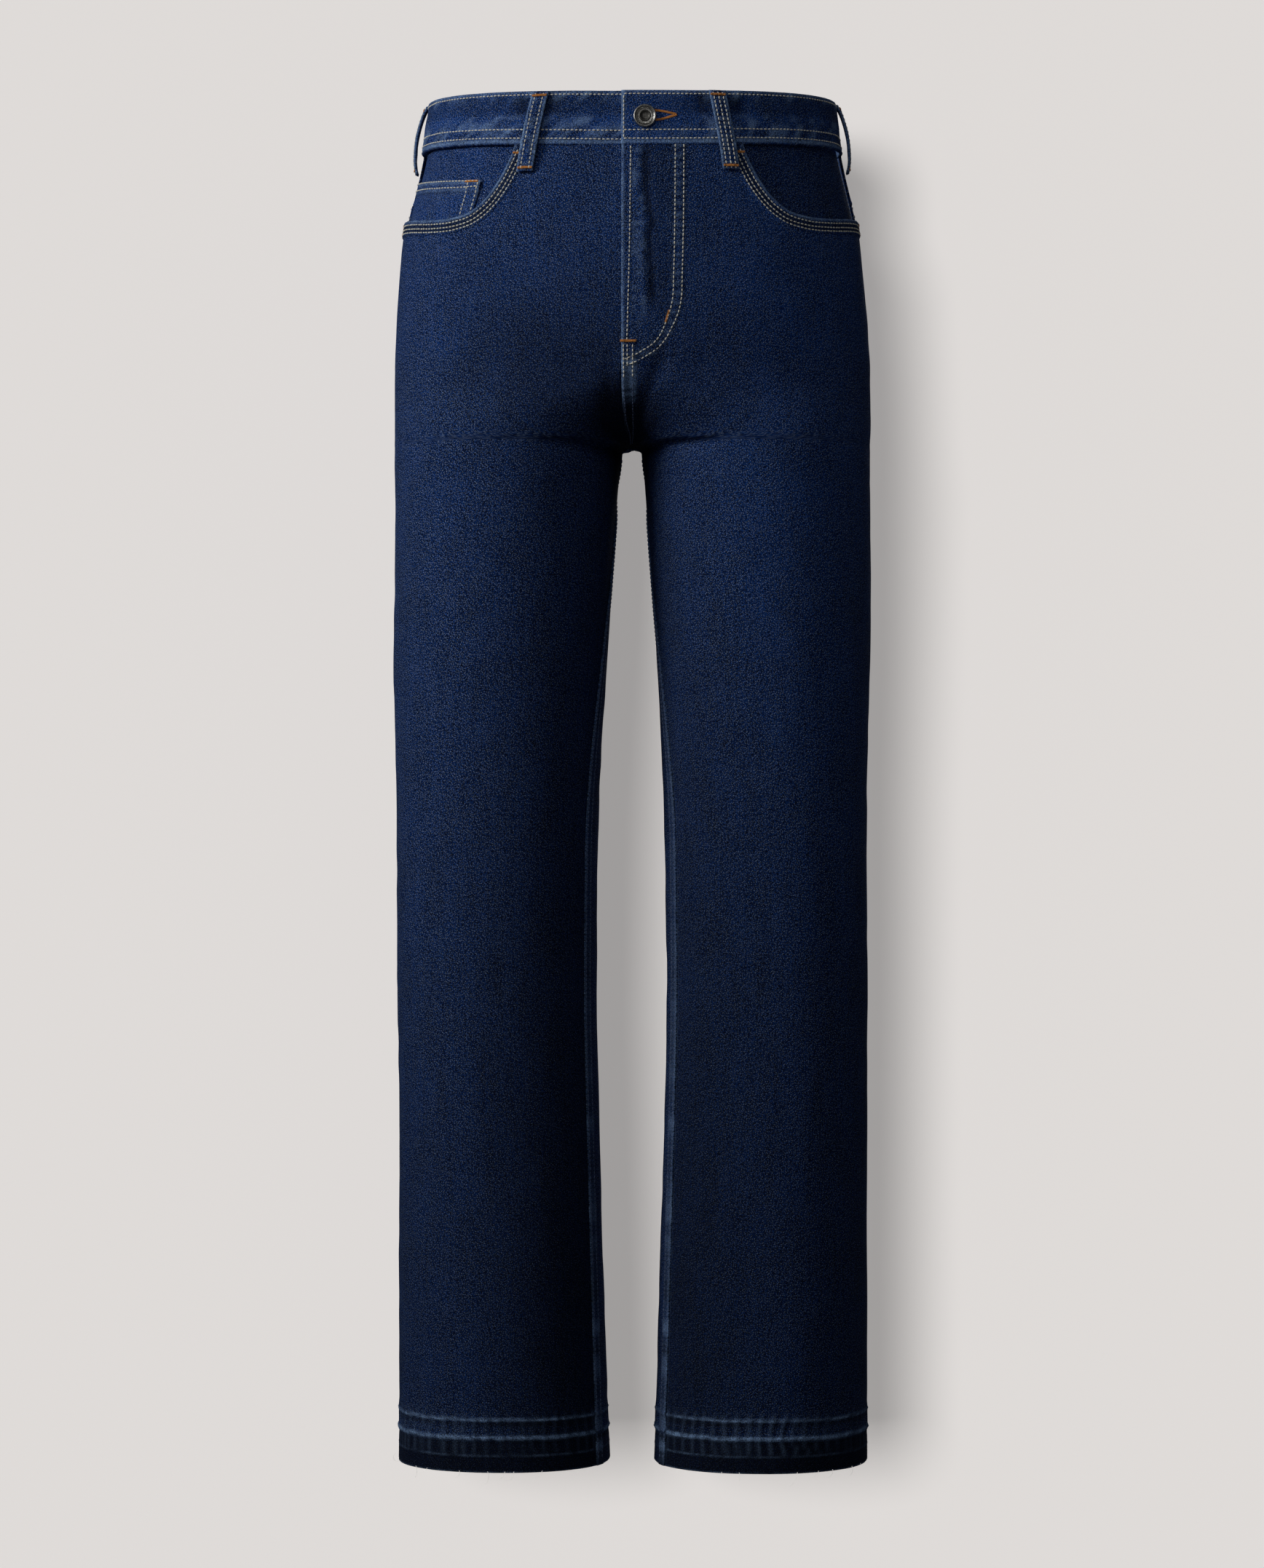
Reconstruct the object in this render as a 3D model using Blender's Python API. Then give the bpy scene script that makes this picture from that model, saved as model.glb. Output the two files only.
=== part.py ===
"""Straight leg jeans, filled out as they hang from a wearer's waist, with a zip fly and a released hem.

Metres, +Z up. The front faces -Y and the wearer's left is +X. The origin is the middle of the waist's
ring, half way up the band. A drop is a distance down from the waist's top edge at the side seams.
Each half of the garment is described by one horizontal section at each drop, and a place on it by
its arc: the distance along the section from the centre front, or from the inner leg.
"""

import functools
import math
from collections import namedtuple

import bmesh
import bpy
import numpy as np
from mathutils import Vector

# Driving dimensions
LENGTH = 1.018
CROTCH = 0.258
SIDE_BAND_HEIGHT = 0.0355
CENTRE_BAND_EXTRA = 0.003
FRONT_DIP = 0.004
BACK_RAISE = 0.018
WAIST_TOP = SIDE_BAND_HEIGHT / 2

DENIM = 0.0012
BAND_WALL = 0.0024
LOOP_WALL = 0.0014
GAP = 0.0003
PATCH_GAP = 0.0013  # under a patch on a rounded panel, whose facets do not lie parallel

FRONT_CURVE = 0.058  # height of the seam's curve from the crotch up to the straight centre front
BACK_CURVE = 0.084
CROTCH_CORNER = 0.006
ROUNDNESS = 2.2  # power of the superellipse of each quarter of a section
SEAT_SLOPE = 1.2  # the same power where the valley between the legs starts
OUTSEAM = 2.03  # place of the side seam in quarters, just behind the side
INSEAM = 0.32  # place of the inner leg seam at the hem, turned towards the front
INSEAM_SETTLED = 0.30  # how far below the crotch it has turned that far

YOKE_SIDE = 0.038
YOKE_CENTRE = 0.075
HIP = 0.080  # the drop at which the pocket openings are laid out
FAN_END = 0.115  # above this drop a leg panel's rows are fanned up to its top edge
INNER_SHARE = 0.45  # share of a leg panel's width over which its rows bend down to the crotch

FLY_LAP = 0.0050
FLY_UNDERLAP = 0.0050
FLY_END = 0.190
FLY_EASE = 0.016
FLY_LIFT = DENIM + GAP
LIFT_END = 0.030  # how far from the centre front the lap lies flat on the body again
LIFT_EASE = 0.020

FACING_DEPTH = 0.0038
FACING_START = 0.080
FACING_HEM = 0.012
FACING_TUCK = 0.006

BAND_PROUD = 0.0010
BAND_UNDERLAP = 0.040
BUTTON_RADIUS = 0.0085
BUTTON_ARC = 0.0120
BUTTON_DROP = 0.0233

ZIP_TAPE = 0.0008
ZIP_CHAIN = 0.0026
ZIP_END = 0.172

QUARTER_POINTS = 40
PROBE = 0.0004  # step used to find the surface's direction

Section = namedtuple("Section", "drop outer front back")
SECTIONS = [
    Section(-0.020, 0.1515, 0.0990, 0.0950),
    Section(0.000, 0.1523, 0.1000, 0.0970),
    Section(0.037, 0.1575, 0.1020, 0.1040),
    Section(0.065, 0.1640, 0.1045, 0.1130),
    Section(0.093, 0.1704, 0.1070, 0.1210),
    Section(0.125, 0.1740, 0.1090, 0.1270),
    Section(0.180, 0.1780, 0.1090, 0.1290),
    Section(0.258, 0.1788, 0.1000, 0.1160),
    Section(0.330, 0.1786, 0.0930, 0.1020),
    Section(0.414, 0.1786, 0.0860, 0.0900),
    Section(0.520, 0.1770, 0.0790, 0.0800),
    Section(0.640, 0.1766, 0.0755, 0.0765),
    Section(0.850, 0.1754, 0.0750, 0.0770),
    Section(1.018, 0.1762, 0.0780, 0.0780),
]

LegGap = namedtuple("LegGap", "drop half")
LEG_GAPS = [
    LegGap(0.258, 0.0080),
    LegGap(0.304, 0.0115),
    LegGap(0.359, 0.0153),
    LegGap(0.414, 0.0192),
    LegGap(0.469, 0.0222),
    LegGap(0.523, 0.0244),
    LegGap(0.600, 0.0258),
    LegGap(0.688, 0.0260),
    LegGap(0.743, 0.0247),
    LegGap(0.852, 0.0216),
    LegGap(1.018, 0.0164),
]

Scoop = namedtuple("Scoop", "across drop")
SCOOP = [
    Scoop(0.0880, 0.0425),
    Scoop(0.0915, 0.0530),
    Scoop(0.0960, 0.0640),
    Scoop(0.1040, 0.0780),
    Scoop(0.1130, 0.0872),
    Scoop(0.1270, 0.0923),
    Scoop(0.1430, 0.0926),
    Scoop(0.1600, 0.0900),
    Scoop(0.1710, 0.0875),
]

Loop = namedtuple("Loop", "name side top_place bottom_place end standoff")
LOOP_WIDTH = 0.0115
LOOPS = [
    Loop("belt_loop_front_left", 1, 0.0645, 0.0755, 0.0615, 0.0058),
    Loop("belt_loop_front_right", -1, 0.0645, 0.0765, 0.0625, 0.0058),
    Loop("belt_loop_side_left", 1, "side", "side", 0.0520, 0.0078),
    Loop("belt_loop_side_right", -1, "side", "side", 0.0520, 0.0078),
    Loop("belt_loop_back", 1, "back", "back", 0.0390, 0.0078),
]

Pocket = namedtuple("Pocket", "inner top_width bottom_width top slant height point")
BACK_POCKET = Pocket(0.030, 0.138, 0.116, 0.110, 0.008, 0.116, 0.014)

Coin = namedtuple("Coin", "inner_top inner_bottom top_inner top_outer")
COIN_POCKET = Coin(0.1115, 0.1155, 0.0660, 0.0580)

DENIM_COLOUR = (0.011, 0.025, 0.083)
ZIP_COLOUR = (0.020, 0.022, 0.030)
METAL_COLOUR = (0.30, 0.29, 0.27)


def smoothstep(value):
    clamped = min(max(value, 0.0), 1.0)
    return clamped * clamped * (3.0 - 2.0 * clamped)


def curve_of(rows, column):
    """A smooth curve of one column of a table over its drops."""
    drops = np.array([row.drop for row in rows])
    values = np.array([getattr(row, column) for row in rows])
    slopes = np.gradient(values, drops)

    def at(drop):
        drop = min(max(drop, drops[0]), drops[-1])
        i = min(int(np.searchsorted(drops, drop, side="right")) - 1, len(drops) - 2)
        span = drops[i + 1] - drops[i]
        t = (drop - drops[i]) / span
        rise = t * t * (3 - 2 * t)
        start = t * (1 - t) ** 2 * span * slopes[i]
        end = t * t * (t - 1) * span * slopes[i + 1]
        return float(values[i] + (values[i + 1] - values[i]) * rise + start + end)

    return at


outer_at = curve_of(SECTIONS, "outer")
front_at = curve_of(SECTIONS, "front")
back_at = curve_of(SECTIONS, "back")
leg_gap_at = curve_of(LEG_GAPS, "half")


def inner_side(drop):
    """Half the gap between the legs: nothing above the crotch, then a rounded corner, then the table."""
    corner = min(max((drop - CROTCH) / CROTCH_CORNER, 0.0), 1.0)
    rounded = math.sqrt(1.0 - (1.0 - corner) ** 2)
    return rounded * leg_gap_at(drop)


def arch(drop, height):
    """How far the crotch's curve has come forward or back at a drop, from 0 where it starts to 1."""
    t = min(max((CROTCH - drop) / height, 0.0), 1.0)
    return 1.0 - math.sqrt(2.0 * t - t * t), t


def quarter(reach_x, reach_y, power):
    """A quarter of a superellipse, from (reach_x, 0) to (0, reach_y)."""
    angles = np.linspace(0.0, math.pi / 2, QUARTER_POINTS + 1)
    return np.stack(
        [reach_x * np.cos(angles) ** (2 / power), reach_y * np.abs(np.sin(angles)) ** (2 / power)], axis=1
    )


@functools.lru_cache(maxsize=None)
def section(drop):
    """(points, arcs): the left half's section at a drop, from the inner front round to the inner back."""
    inner = inner_side(drop)
    outer = outer_at(drop)
    halves = []
    for depth, height, facing in ((front_at(drop), FRONT_CURVE, -1), (back_at(drop), BACK_CURVE, 1)):
        arched, t = arch(drop, height)
        leg_centre = inner + (outer - inner) / 2 * (1.0 - smoothstep(t))
        power = ROUNDNESS - (ROUNDNESS - SEAT_SLOPE) * t
        inside = quarter(leg_centre - inner, depth * arched, power)
        inside = np.array([leg_centre, facing * depth * (1 - arched)]) + inside * (-1, facing)
        outside = quarter(outer - leg_centre, depth, ROUNDNESS)[::-1] * (1, facing)
        outside = outside + np.array([leg_centre, 0.0])
        halves.append(np.concatenate([inside, outside[1:]]))
    points = np.concatenate([halves[0], halves[1][::-1][1:]])
    steps = np.linalg.norm(np.diff(points, axis=0), axis=1)
    return points, np.concatenate([[0.0], np.cumsum(steps)])


def arc_of(drop, quarters):
    """The arc of a place given in quarters of the section: 2 is the side."""
    _, arcs = section(drop)
    return float(np.interp(quarters * QUARTER_POINTS, np.arange(len(arcs)), arcs))


def arc_at(drop, across):
    """The arc of the place on the front that is `across` from the centre plane."""
    points, arcs = section(drop)
    front = 2 * QUARTER_POINTS + 1
    return float(np.interp(across, points[:front, 0], arcs[:front]))


def whole_arc(drop):
    return float(section(drop)[1][-1])


def spot(drop, arc):
    """The point of the left half at a drop and an arc. Past the centre planes it goes on round the garment."""
    points, arcs = section(drop)
    whole = arcs[-1]
    sign = 1.0
    if drop > CROTCH:
        arc = arc % whole
    else:
        arc = arc % (2 * whole)
        if arc > whole:
            arc, sign = 2 * whole - arc, -1.0
    x = np.interp(arc, arcs, points[:, 0])
    y = np.interp(arc, arcs, points[:, 1])
    return Vector((sign * x, y, WAIST_TOP - drop))


def outward(drop, arc):
    """The direction out of the cloth at a place."""
    along = spot(drop, arc + PROBE) - spot(drop, arc - PROBE)
    down = spot(drop + PROBE, arc) - spot(drop - PROBE, arc)
    flat = Vector((along.y, -along.x, 0.0)).normalized()
    return down.cross(along).normalized() if down.cross(along).dot(flat) > 0 else flat


def band_top(share):
    """The drop of the waist's top edge. share runs from 0 at the centre front, by 0.5 at the side, to 1."""
    wave = (1.0 + math.cos(2.0 * math.pi * share)) / 2.0
    return FRONT_DIP * wave if share < 0.5 else -BACK_RAISE * wave


def band_bottom(share):
    wave = (1.0 + math.cos(2.0 * math.pi * share)) / 2.0
    return band_top(share) + SIDE_BAND_HEIGHT + CENTRE_BAND_EXTRA * wave


def share_of(arc):
    whole = whole_arc(0.0)
    side = arc_of(0.0, OUTSEAM)
    arc = abs(arc)
    return 0.5 * arc / side if arc < side else 0.5 + 0.5 * (arc - side) / (whole - side)


def yoke_seam(from_back):
    """The drop of the yoke's seam. from_back runs from 0 at the centre back to 1 at the side."""
    share = 1.0 - 0.5 * from_back
    return band_bottom(share) + YOKE_CENTRE + (YOKE_SIDE - YOKE_CENTRE) * from_back


def scoop_drop(across):
    """The drop of the front's top edge: the band's seam, then the pocket opening."""
    if across < SCOOP[0].across:
        return band_bottom(share_of(across))
    return float(np.interp(across, [row.across for row in SCOOP], [row.drop for row in SCOOP]))


def material(name, colour, roughness, metallic):
    made = bpy.data.materials.new(name)
    made.use_nodes = True
    made.diffuse_color = (*colour, 1.0)
    shader = made.node_tree.nodes["Principled BSDF"]
    shader.inputs["Base Color"].default_value = (*colour, 1.0)
    shader.inputs["Roughness"].default_value = roughness
    shader.inputs["Metallic"].default_value = metallic
    return made


def face_out(closed):
    """Turns a closed shape's faces to point out of it."""
    bmesh.ops.recalc_face_normals(closed, faces=closed.faces[:])
    if closed.calc_volume(signed=True) < 0:
        bmesh.ops.reverse_faces(closed, faces=closed.faces[:])


def add_object(name, mesh_builder, finish):
    mesh = bpy.data.meshes.new(name)
    mesh_builder.to_mesh(mesh)
    mesh_builder.free()
    mesh.materials.append(finish)
    mesh.shade_smooth()
    made = bpy.data.objects.new(name, mesh)
    bpy.context.scene.collection.objects.link(made)
    return made


def cloth(name, side, columns, rows, place, wall, finish, lap=lambda drop, arc: 0.0):
    """A wall of cloth: a flat slab bent to its place, with a line of points for each column and row.

    place(column, row) gives (drop, arc, out), with out the height of the outer face over the section.
    wall is its thickness, or a function of the column and row that gives it. lap(drop, arc) is how far
    it is moved forwards to lie over another piece.
    """
    thickness = wall if callable(wall) else lambda column, row: wall
    slab = bmesh.new()
    bmesh.ops.create_grid(slab, x_segments=len(columns) - 1, y_segments=len(rows) - 1, size=0.5)
    extruded = bmesh.ops.extrude_face_region(slab, geom=slab.faces[:], use_keep_orig=True)
    lower = [item for item in extruded["geom"] if isinstance(item, bmesh.types.BMVert)]
    bmesh.ops.translate(slab, verts=lower, vec=(0.0, 0.0, -1.0))
    for vert in slab.verts:
        column = columns[round((vert.co.x + 0.5) * (len(columns) - 1))]
        row = rows[round((0.5 - vert.co.y) * (len(rows) - 1))]
        drop, arc, out = place(column, row)
        inwards = -vert.co.z * thickness(column, row)
        vert.co = spot(drop, arc) + outward(drop, arc) * (out - inwards)
        vert.co.y -= lap(drop, arc)
        vert.co.x *= side
    face_out(slab)
    return add_object(name, slab, finish)


def crotch_rows():
    """(inner, outer) drops of a leg panel's rows below its top: close together only at the crotch."""
    rows = [(FAN_END, FAN_END), (0.142, 0.138), (0.172, 0.154), (0.192, 0.162)]
    for step in (0.85, 0.72, 0.60, 0.48, 0.36, 0.24, 0.12, 0.0):
        rows.append((CROTCH - FRONT_CURVE * step**2 * 1.15, CROTCH - 0.105 * step))
    for inner, outer in ((0.0008, 0.014), (0.0030, 0.030), (0.0075, 0.048), (0.024, 0.072), (0.060, 0.100)):
        rows.append((CROTCH + inner, CROTCH + outer))
    below = [0.415, 0.485, 0.570, 0.670, 0.780, 0.890, 0.975, LENGTH]
    return rows + [(drop, drop) for drop in below]


def panel_drop(across_share, row, top):
    """The drop of a leg panel's row at a share of its width, with the first rows fanned up to its top."""
    inner, outer = row
    drop = inner + (outer - inner) * smoothstep(across_share / INNER_SHARE)
    if drop >= FAN_END:
        return drop
    return top + (FAN_END - top) * drop / FAN_END


def turned_inseam(drop):
    return INSEAM * smoothstep((drop - CROTCH) / INSEAM_SETTLED)


def fly_share(drop):
    """1 along the fly, easing to 0 below it."""
    return 1.0 - smoothstep((drop - FLY_END) / FLY_EASE)


def leg_front(name, side, finish):
    """side 1 laps over the centre front, and side -1 goes on under it."""
    columns = [0.0, 0.045, 0.10, 0.20, 0.30, 0.385, 0.41, 0.44, 0.475, 0.52, 0.59, 0.68, 0.78, 0.89, 1.0]
    rows = [(0.0, 0.0), (0.060, 0.060)] + crotch_rows()

    def edges(drop):
        past = FLY_LAP if side > 0 else FLY_UNDERLAP
        start = arc_of(drop, turned_inseam(drop)) + GAP / 2 - (past + GAP / 2) * fly_share(drop)
        return start, arc_of(drop, OUTSEAM) - GAP / 2

    def place(column, row):
        start, end = edges(HIP)
        hip_point = spot(HIP, start + column * (end - start))
        top = scoop_drop(hip_point.x) + 2 * GAP
        drop = panel_drop(column, row, top)
        start, end = edges(drop)
        return drop, start + column * (end - start), 0.0

    def lap(drop, arc):
        near_centre = 1.0 - smoothstep((arc - LIFT_END + LIFT_EASE) / LIFT_EASE)
        return FLY_LIFT * fly_share(drop - 2 * FLY_EASE) * near_centre if side > 0 else 0.0

    return cloth(name, side, columns, rows, place, DENIM, finish, lap)


def leg_back(name, side, finish):
    columns = [i / 14 for i in range(15)]
    rows = [(0.0, 0.0), (0.060, 0.060)] + crotch_rows()

    def place(column, row):
        drop = panel_drop(column, row, yoke_seam(column) + GAP)
        start = whole_arc(drop) + arc_of(drop, turned_inseam(drop)) - GAP / 2
        end = arc_of(drop, OUTSEAM) + GAP / 2
        return drop, start + column * (end - start), 0.0

    return cloth(name, side, columns, rows, place, DENIM, finish)


def yoke(name, side, finish):
    columns = [i / 10 for i in range(11)]
    rows = [0.0, 0.5, 1.0]

    def place(column, row):
        top = band_bottom(1.0 - 0.5 * column) + GAP
        drop = top + row * (yoke_seam(column) - top)
        start = whole_arc(drop) - GAP / 2
        end = arc_of(drop, OUTSEAM) + GAP / 2
        return drop, start + column * (end - start), 0.0

    return cloth(name, side, columns, rows, place, DENIM, finish)


def pocket_facing(name, side, finish):
    """The denim behind a pocket opening, tucked under the front's edge and the side seam."""
    columns = [0.0, 0.06, 0.12, 0.19, 0.27, 0.37, 0.48, 0.60, 0.72, 0.84, 0.93, 1.0]
    rows = [0.0, 0.33, 0.66, 1.0]

    def place(column, row):
        end = arc_of(HIP, OUTSEAM) + FACING_TUCK
        arc = FACING_START + column * (end - FACING_START)
        top = band_bottom(share_of(arc)) + GAP
        bottom = scoop_drop(spot(HIP, arc).x) + FACING_HEM
        drop = top + row * (bottom - top)
        side_arc = arc_of(drop, OUTSEAM)
        return drop, arc * side_arc / arc_of(HIP, OUTSEAM), -FACING_DEPTH

    return cloth(name, side, columns, rows, place, DENIM, finish)


def coin_pocket(finish):
    columns = [i / 6 for i in range(7)]
    rows = [0.0, 0.5, 1.0]
    wall = FACING_DEPTH - DENIM - 6 * GAP

    def place(column, row):
        side_arc = arc_of(HIP, OUTSEAM)
        inner = COIN_POCKET.inner_top + row * (COIN_POCKET.inner_bottom - COIN_POCKET.inner_top)
        start = arc_at(0.07, inner)
        arc = start + column * (side_arc + FACING_TUCK / 2 - start)
        top = COIN_POCKET.top_inner + column * (COIN_POCKET.top_outer - COIN_POCKET.top_inner)
        bottom = scoop_drop(spot(HIP, arc).x) + FACING_HEM / 2
        drop = top + row * (bottom - top)
        return drop, arc * arc_of(drop, OUTSEAM) / side_arc, -DENIM - 4 * GAP

    return cloth("coin_pocket", -1, columns, rows, place, wall, finish)


def waistband(finish):
    """One strip round the waist. Its left end is buttoned over the right end, which goes on under it."""
    half = whole_arc(0.0)
    stations = [-FLY_LAP, 0.006, 0.018, 0.032]
    stations += [half * i / 18 for i in range(3, 34)]
    stations += [2 * half - 0.050, 2 * half - 0.036, 2 * half - 0.022, 2 * half - 0.008]
    stations += [2 * half + 0.008, 2 * half + 0.024, 2 * half + BAND_UNDERLAP]
    rows = [0.0, 0.5, 1.0]

    def place(station, row):
        folded = half - abs(half - station)
        share = share_of(folded)
        drop = band_top(share) + row * (band_bottom(share) - band_top(share))
        arc = station * whole_arc(drop) / half if station < half else 2 * whole_arc(drop) - folded
        out = BAND_PROUD
        if station < half:
            out += (BAND_WALL + GAP) / 2 * (1.0 - smoothstep((station - 0.002) / 0.050))
        else:
            out -= (BAND_WALL + GAP) / 2 * (1.0 - smoothstep((folded - 0.008) / 0.040)) + 0.0001
        return drop, arc, out

    return cloth("waistband", 1, stations, rows, place, BAND_WALL, finish)


def belt_loop(loop, finish):
    """A strip from the band's top edge to the panel below it, standing off between its two ends."""
    columns = [-0.5, 0.0, 0.5]
    rows = [i / 10 for i in range(11)]

    def middle(name_or_arc, drop):
        if name_or_arc == "side":
            return arc_of(drop, 2.0)
        return whole_arc(drop) if name_or_arc == "back" else name_or_arc

    def place(column, row):
        share = {"side": 0.5, "back": 1.0}.get(loop.top_place) or share_of(loop.top_place)
        top = band_top(share) + 0.0006
        drop = top + row * (loop.end - top)
        start, end = middle(loop.top_place, drop), middle(loop.bottom_place, drop)
        arc = start + row * (end - start) + column * LOOP_WIDTH
        rest_top = BAND_PROUD + 0.0014 * (loop.name == "belt_loop_front_left")
        rest = rest_top + (PATCH_GAP - GAP - rest_top) * smoothstep((row - 0.62) / 0.2)
        stand = math.sin(math.pi * min(max((row - 0.03) / 0.94, 0.0), 1.0)) ** 0.6
        out = rest + GAP + LOOP_WALL + stand * (loop.standoff - LOOP_WALL - GAP - rest)
        return drop, arc, out

    return cloth(loop.name, loop.side, columns, rows, place, LOOP_WALL, finish)


def back_pocket(name, side, finish):
    columns = [i / 10 for i in range(11)]
    rows = [i / 9 for i in range(10)]
    pocket = BACK_POCKET

    def place(column, row):
        width = pocket.top_width + row * (pocket.bottom_width - pocket.top_width)
        middle = pocket.inner + pocket.top_width / 2
        from_back = middle + (column - 0.5) * width
        top = pocket.top - pocket.slant * column
        bottom = pocket.top - pocket.slant / 2 + pocket.height + pocket.point * (1 - abs(2 * column - 1))
        drop = top + row * (bottom - top)
        return drop, whole_arc(drop) - from_back, PATCH_GAP + DENIM

    return cloth(name, side, columns, rows, place, DENIM, finish)


def fly_zip(finish):
    """Closed zip behind the fly: a tape with its chain as a ridge on the inner side."""
    columns = [-0.014, -0.001, 0.001, 0.007, 0.009, 0.020]
    rows = [i / 5 for i in range(6)]

    def place(column, row):
        top = band_bottom(share_of(column)) + 2 * GAP
        return top + row * (ZIP_END - top), column, -DENIM - 2 * GAP

    def wall(column, row):
        return ZIP_CHAIN if 0.0 < column < 0.008 else ZIP_TAPE

    return cloth("fly_zip", 1, columns, rows, place, wall, finish)


def button(finish):
    """A domed shank button: its profile turned about the axis that stands on the band."""
    Ring = namedtuple("Ring", "radius height")
    profile = [
        Ring(0.0, 0.0),
        Ring(0.0074, 0.0),
        Ring(BUTTON_RADIUS, 0.0008),
        Ring(BUTTON_RADIUS, 0.0018),
        Ring(0.0078, 0.0026),
        Ring(0.0070, 0.0024),
        Ring(0.0046, 0.0022),
        Ring(0.0040, 0.0026),
        Ring(0.0033, 0.0019),
        Ring(0.0016, 0.0022),
        Ring(0.0, 0.0023),
    ]
    turned = bmesh.new()
    edge_points = [turned.verts.new((ring.radius, 0.0, ring.height)) for ring in profile]
    edges = [turned.edges.new(pair) for pair in zip(edge_points, edge_points[1:])]
    bmesh.ops.spin(
        turned, geom=edge_points + edges, axis=(0, 0, 1), cent=(0, 0, 0), angle=2 * math.pi, steps=32, use_merge=True
    )
    bmesh.ops.remove_doubles(turned, verts=turned.verts[:], dist=1e-5)
    face_out(turned)
    facing = outward(BUTTON_DROP, BUTTON_ARC)
    band_out = BAND_PROUD + (BAND_WALL + GAP) / 2
    made = add_object("button", turned, finish)
    made.location = spot(BUTTON_DROP, BUTTON_ARC) + facing * (band_out + GAP)
    made.rotation_euler = facing.to_track_quat("Z", "Y").to_euler()
    return made


def main():
    for old in list(bpy.data.objects):
        bpy.data.objects.remove(old, do_unlink=True)
    denim = material("indigo denim", DENIM_COLOUR, 0.85, 0.0)
    tape = material("zip tape and chain", ZIP_COLOUR, 0.6, 0.3)
    metal = material("plated button metal", METAL_COLOUR, 0.35, 1.0)
    for suffix, side in (("left", 1), ("right", -1)):
        leg_front(f"front_{suffix}", side, denim)
        leg_back(f"back_{suffix}", side, denim)
        yoke(f"yoke_{suffix}", side, denim)
        pocket_facing(f"pocket_facing_{suffix}", side, denim)
        back_pocket(f"back_pocket_{suffix}", side, denim)
    coin_pocket(denim)
    waistband(denim)
    for loop in LOOPS:
        belt_loop(loop, denim)
    fly_zip(tape)
    button(metal)


main()
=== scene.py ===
"""Straight leg jeans as they hang: cloth shells, stitching, trims and a small studio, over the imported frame.

Metres, +Z up. The front faces -Y and the wearer's left is +X. A drop is a distance down from the waist's
top edge at the side seams. Each half of the garment is described by one horizontal section at each drop,
and a place on it by its arc: the distance along the section from the centre front, or from the inner leg.
"""

import math
from collections import namedtuple

import bmesh
import bpy
import numpy as np
from bpy.props import FloatProperty, FloatVectorProperty, PointerProperty
from mathutils import Matrix, Vector


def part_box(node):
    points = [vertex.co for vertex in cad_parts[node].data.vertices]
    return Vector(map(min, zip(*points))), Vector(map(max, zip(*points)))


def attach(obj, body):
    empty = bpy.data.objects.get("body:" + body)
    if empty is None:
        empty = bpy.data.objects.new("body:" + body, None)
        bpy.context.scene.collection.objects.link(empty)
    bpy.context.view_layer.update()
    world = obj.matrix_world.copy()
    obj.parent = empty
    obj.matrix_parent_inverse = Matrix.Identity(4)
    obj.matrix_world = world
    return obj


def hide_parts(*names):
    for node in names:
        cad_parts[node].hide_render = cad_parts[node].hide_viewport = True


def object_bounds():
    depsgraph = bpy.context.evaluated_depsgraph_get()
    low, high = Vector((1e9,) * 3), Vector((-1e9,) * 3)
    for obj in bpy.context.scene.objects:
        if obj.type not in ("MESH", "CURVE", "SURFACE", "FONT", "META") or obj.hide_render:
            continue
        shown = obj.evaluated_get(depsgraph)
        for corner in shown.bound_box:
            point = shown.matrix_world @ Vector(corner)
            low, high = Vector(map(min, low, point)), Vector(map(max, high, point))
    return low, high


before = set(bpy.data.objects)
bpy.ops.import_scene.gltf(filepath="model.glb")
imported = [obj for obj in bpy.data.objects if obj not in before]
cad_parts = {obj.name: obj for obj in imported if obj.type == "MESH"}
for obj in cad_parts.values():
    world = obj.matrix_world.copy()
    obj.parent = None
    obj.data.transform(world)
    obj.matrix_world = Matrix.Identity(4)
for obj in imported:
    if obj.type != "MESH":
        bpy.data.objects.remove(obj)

bl_info = {
    "name": "Straight Leg Jeans",
    "version": (1, 0, 0),
    "blender": (4, 5, 0),
    "location": "3D View > Sidebar > Jeans",
    "description": "Builds a pair of straight leg jeans piece by piece, with its stitching and trims",
    "category": "Object",
}

CAD_LOW, CAD_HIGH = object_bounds()

# The garment's own sizes, as its frame has them
LENGTH = 1.018
CROTCH = 0.258
WAIST_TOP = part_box("front_left")[0].z + LENGTH
SIDE_BAND_HEIGHT = 0.0355
CENTRE_BAND_EXTRA = 0.003
FRONT_DIP = 0.004
BACK_RAISE = 0.018
GAP = 0.0003
PATCH_GAP = 0.0013  # under a patch on a rounded panel
FRONT_CURVE = 0.058  # height of the seam's curve from the crotch up to the straight centre front
BACK_CURVE = 0.084
FRONT_SQUARENESS = 2.35  # the front seam's curve keeps near the front until it turns under
CROTCH_CORNER = 0.004  # radius of the corners at the top of the gap between the legs
ROUNDNESS = 2.2  # power of the superellipse of each quarter of a section
SEAT_SLOPE = 1.2  # the same power where the valley between the legs starts
FLOOR_REACH = 0.012  # how far the bottom of that valley is flattened at the front
FLOOR_END = 0.012  # distance below the crotch at which the flattening has gone
FLOOR_EASE = 0.022
OUTSEAM = 2.03  # place of the side seam in quarters
INSEAM = 0.32  # place of the inner leg seam at the hem, turned towards the front
INSEAM_SETTLED = 0.30
YOKE_SIDE = 0.038
YOKE_CENTRE = 0.075
HIP = 0.08  # the drop at which the pocket openings are laid out
FAN_END = 0.115  # above this drop the rows of a panel are fanned up to its top edge
INNER_SHARE = 0.45  # share of a leg panel's width over which rows bend down to the crotch
CROTCH_REACH = 0.105

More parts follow.
